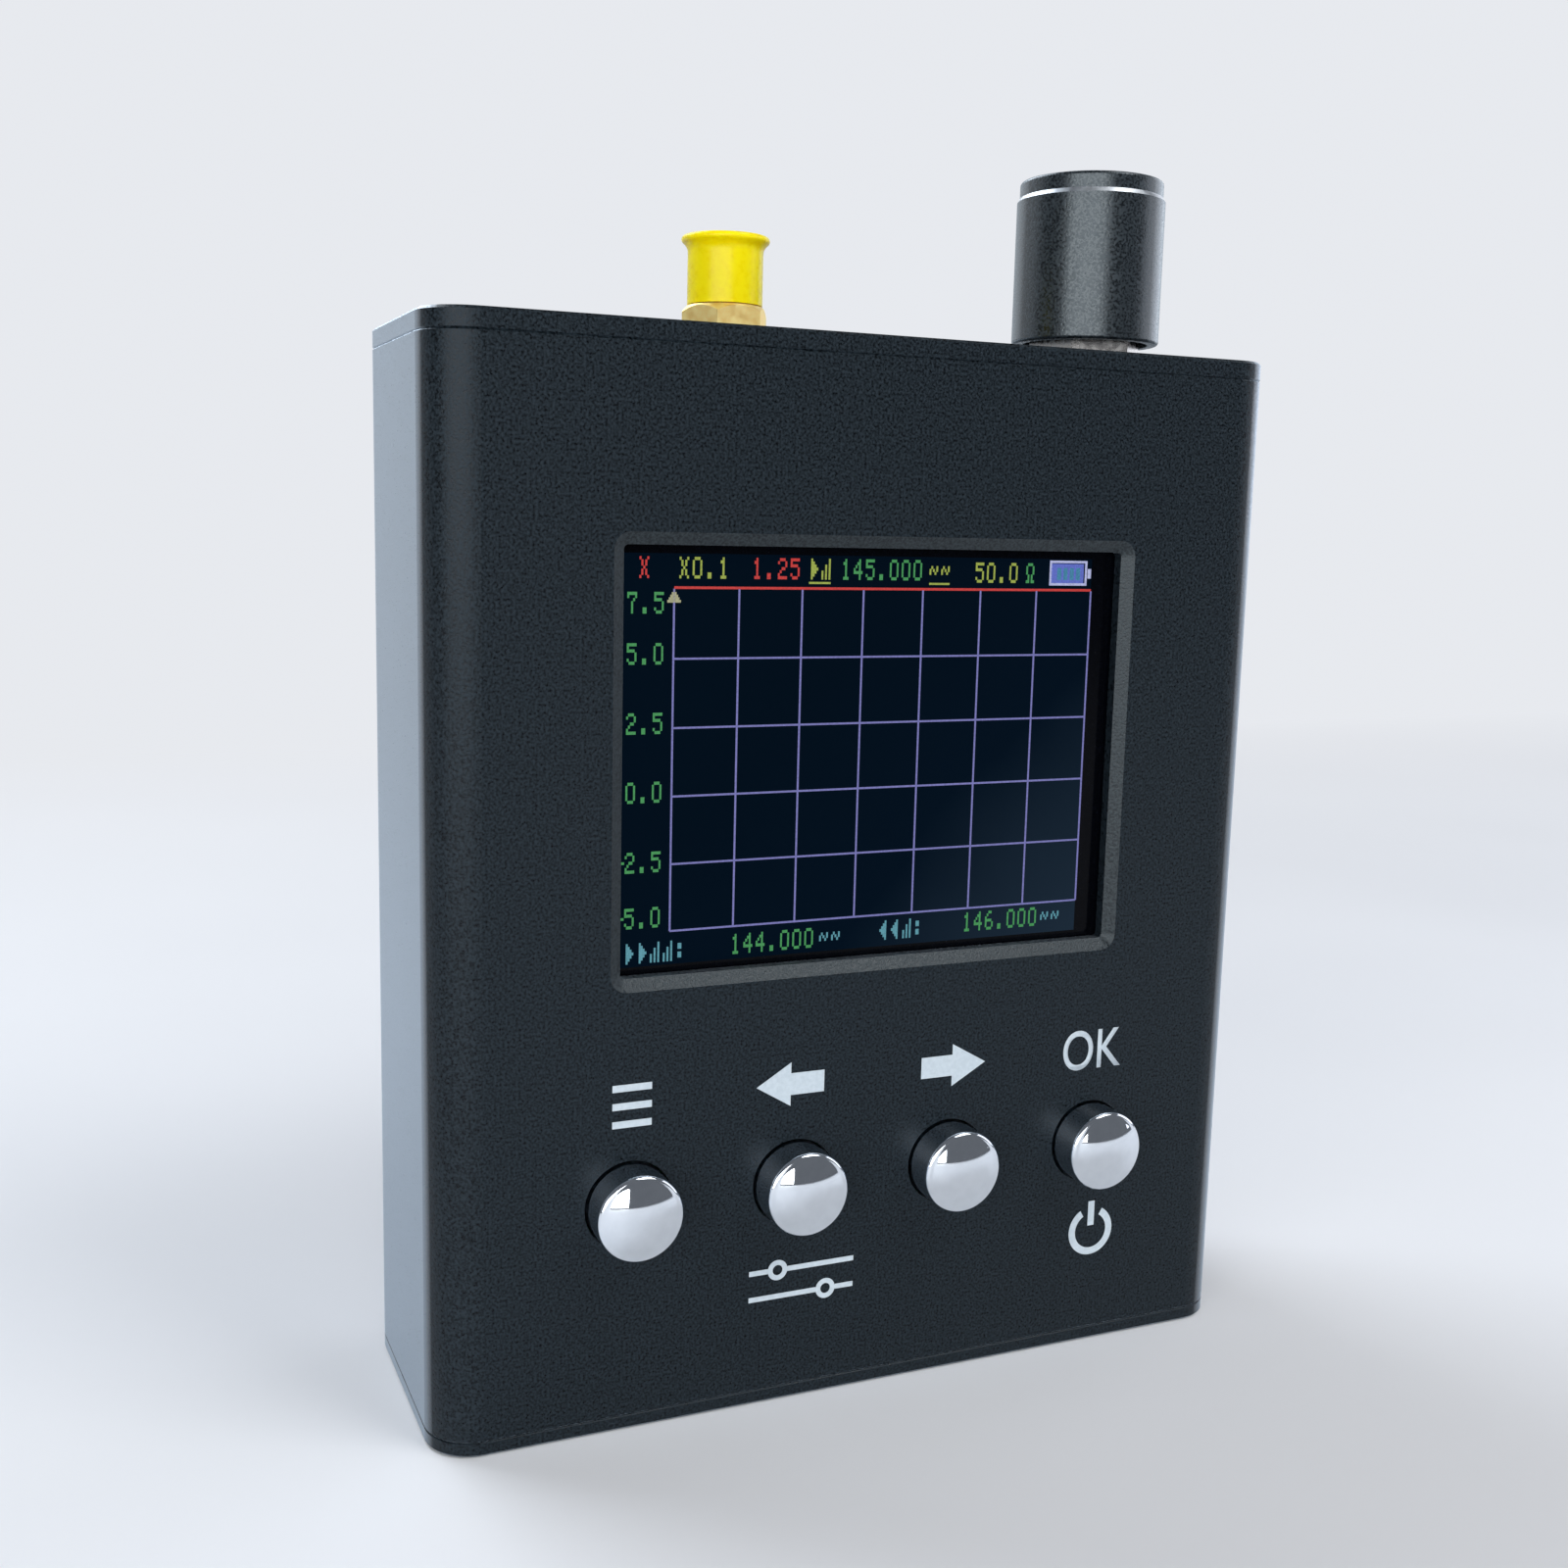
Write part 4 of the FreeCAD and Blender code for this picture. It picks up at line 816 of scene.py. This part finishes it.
SLIDER_KNOBS = ((-9.6, 13.1), (-4.6, 10.5))
SLIDER_LEFT, SLIDER_RIGHT, SLIDER_HALF = -12.5, -1.7, 0.25
SLIDER_RING, SLIDER_RING_LINE, SLIDER_GAP = 0.75, 0.5, 1.0
bm = bmesh.new()
for x, z in SLIDER_KNOBS:
    printed_arc(bm, x, z, SLIDER_RING, SLIDER_RING_LINE, 0, 360)
    printed_bar(bm, SLIDER_LEFT, x - SLIDER_GAP, z - SLIDER_HALF, z + SLIDER_HALF)
    printed_bar(bm, x + SLIDER_GAP, SLIDER_RIGHT, z - SLIDER_HALF, z + SLIDER_HALF)
make_piece("legend_adjust", bm, "case", ink, smooth=False)

# %% [markdown]
# The confirm key's two letters are plain sans letters. A text curve gives their outline,
# made slightly bolder, and its flat mesh is scaled to the print's place and given the ink.

# %% Letters of the confirm key
LETTER_BOLDNESS = 0.004
OK_LEFT, OK_RIGHT, OK_LOW, OK_HIGH = 20.9, 27.7, 29.1, 33.2
text_data = bpy.data.curves.new("legend_ok_text", "FONT")
text_data.body = "OK"
text_data.offset = LETTER_BOLDNESS
text_object = bpy.data.objects.new("legend_ok_text", text_data)
bpy.context.scene.collection.objects.link(text_object)
bpy.context.view_layer.update()
flat = bpy.data.meshes.new_from_object(text_object.evaluated_get(
    bpy.context.evaluated_depsgraph_get()))
bpy.data.objects.remove(text_object)
bm = bmesh.new()
bm.from_mesh(flat)
low_x, high_x = min(v.co.x for v in bm.verts), max(v.co.x for v in bm.verts)
low_z, high_z = min(v.co.y for v in bm.verts), max(v.co.y for v in bm.verts)
for vert in bm.verts:
    share_x = (vert.co.x - low_x) / (high_x - low_x)
    share_z = (vert.co.y - low_z) / (high_z - low_z)
    vert.co = Vector(((OK_LEFT + share_x * (OK_RIGHT - OK_LEFT)) * MM, front_y - INK_LIFT,
                      (OK_LOW + share_z * (OK_HIGH - OK_LOW)) * MM))
bmesh.ops.remove_doubles(bm, verts=bm.verts, dist=MERGE_REACH)
raise_ink(bm, bm.faces[:])
make_piece("legend_ok", bm, "case", ink, smooth=False)
print("letters mm wide", round(OK_RIGHT - OK_LEFT, 2))

# %% [markdown]
# The stage is pale paper. Far behind the object its own pale colour takes over from the
# lamps' light, for the camera and for mirrors alike, so the background is even and the
# near floor keeps the shadow. More light would do the same, but it would clip the paper.

# %% Stage finish
PAPER_SCALE = 6.0
PAPER_DARK, PAPER_LIGHT = (0.80, 0.81, 0.83), (0.84, 0.85, 0.87)
BACKDROP_COLOUR = (0.80, 0.82, 0.86, 1.0)
FADE_START, FADE_END = 0.08, 0.45
floor_material, shader = new_material("stage_pale", (0.82, 0.83, 0.85), 0.7)
value = object_noise(floor_material, PAPER_SCALE)
two_tone(floor_material, shader, value, PAPER_DARK, PAPER_LIGHT)
tree = floor_material.node_tree
link = tree.links.new
path = tree.nodes.new("ShaderNodeLightPath")
seen = path.outputs["Is Camera Ray"]
for ray in ("Is Glossy Ray", "Is Transmission Ray"):
    joined = tree.nodes.new("ShaderNodeMath")
    joined.operation = "MAXIMUM"
    link(seen, joined.inputs[0])
    link(path.outputs[ray], joined.inputs[1])
    seen = joined.outputs["Value"]
place = tree.nodes.new("ShaderNodeTexCoord")
split = tree.nodes.new("ShaderNodeSeparateXYZ")
link(place.outputs["Object"], split.inputs["Vector"])
far = spread(floor_material, split.outputs["Y"], 0.0, 1.0, FADE_START, FADE_END)
share = tree.nodes.new("ShaderNodeMath")
share.operation = "MULTIPLY"
link(seen, share.inputs[0])
link(far, share.inputs[1])
pale_light = tree.nodes.new("ShaderNodeEmission")
pale_light.inputs["Color"].default_value = BACKDROP_COLOUR
blend = tree.nodes.new("ShaderNodeMixShader")
link(share.outputs["Value"], blend.inputs["Fac"])
link(shader.outputs["BSDF"], blend.inputs[1])
link(pale_light.outputs["Emission"], blend.inputs[2])
link(blend.outputs["Shader"], tree.nodes["Material Output"].inputs["Surface"])
print("stage finish fades from", FADE_START, "to", FADE_END, "m")

# %% [markdown]
# The paper hangs as a sweep: a floor that bends up into a back wall, so no horizon shows.
# One line of the section is drawn and then pulled sideways.

# %% Stage sweep
SWEEP_HALF, SWEEP_FRONT, SWEEP_BACK, SWEEP_BEND, SWEEP_TOP = 3.0, -3.5, 1.0, 0.5, 2.2
SWEEP_STEPS = 16
bm = bmesh.new()
profile = [(SWEEP_FRONT, 0.0)]
profile += arc_points((SWEEP_BACK, SWEEP_BEND), SWEEP_BEND, -90, 0, SWEEP_STEPS)
profile += [(SWEEP_BACK + SWEEP_BEND, SWEEP_TOP)]
line = [bm.verts.new((-SWEEP_HALF, y, z)) for y, z in profile]
edges = [bm.edges.new(pair) for pair in zip(line, line[1:])]
grown = bmesh.ops.extrude_edge_only(bm, edges=edges)
moved = [item for item in grown["geom"] if isinstance(item, bmesh.types.BMVert)]
bmesh.ops.translate(bm, verts=moved, vec=(2 * SWEEP_HALF, 0, 0))
mesh = bpy.data.meshes.new("stage_sweep")
bm.to_mesh(mesh)
bm.free()
mesh.shade_smooth()
mesh.materials.append(floor_material)
sweep = bpy.data.objects.new("stage_sweep", mesh)
bpy.context.scene.collection.objects.link(sweep)
print("sweep metres wide", 2 * SWEEP_HALF)

# %% [markdown]
# Four soft lamps light the object. Two on the left brighten the side and the top's edge,
# one above the right front lights the floor and the front, and one on the right gives the
# right edges their thin line. Each is a broad rectangle, because the photograph's edges
# and domes mirror broad, soft lights. The world adds a little even light.

# %% Lamps and world
CENTRE = (0.0, 0.0, 0.05)
WORLD_COLOUR, WORLD_STRENGTH = (0.80, 0.84, 0.92, 1.0), 0.18


def soft_lamp(name, place, width, height, power, colour=(1.0, 1.0, 1.0)):
    """Rectangular soft lamp that faces the object, sizes in metres and power in watts."""
    data = bpy.data.lights.new(name, "AREA")
    data.shape = "RECTANGLE"
    data.size, data.size_y = width, height
    data.energy = power
    data.color = colour
    lamp = bpy.data.objects.new(name, data)
    lamp.location = place
    lamp.rotation_euler = (Vector(CENTRE) - Vector(place)).to_track_quat("-Z", "Y").to_euler()
    bpy.context.scene.collection.objects.link(lamp)


soft_lamp("lamp_left_back", (-0.30, 0.50, 0.60), 0.5, 0.5, 4.2, (0.86, 0.92, 1.0))
soft_lamp("lamp_camera_side", (-0.545, -0.778, 0.26), 1.15, 0.46, 7.2)
soft_lamp("lamp_overhead", (0.28, -0.36, 0.62), 0.35, 0.35, 2.1)
soft_lamp("lamp_right", (0.78, 0.04, 0.28), 0.95, 0.45, 2.1, (0.90, 0.92, 1.0))
world = bpy.data.worlds.new("studio_world")
bpy.context.scene.world = world
world.use_nodes = True
background = world.node_tree.nodes["Background"]
background.inputs["Color"].default_value = WORLD_COLOUR
background.inputs["Strength"].default_value = WORLD_STRENGTH
bpy.context.scene.view_settings.view_transform = "Standard"
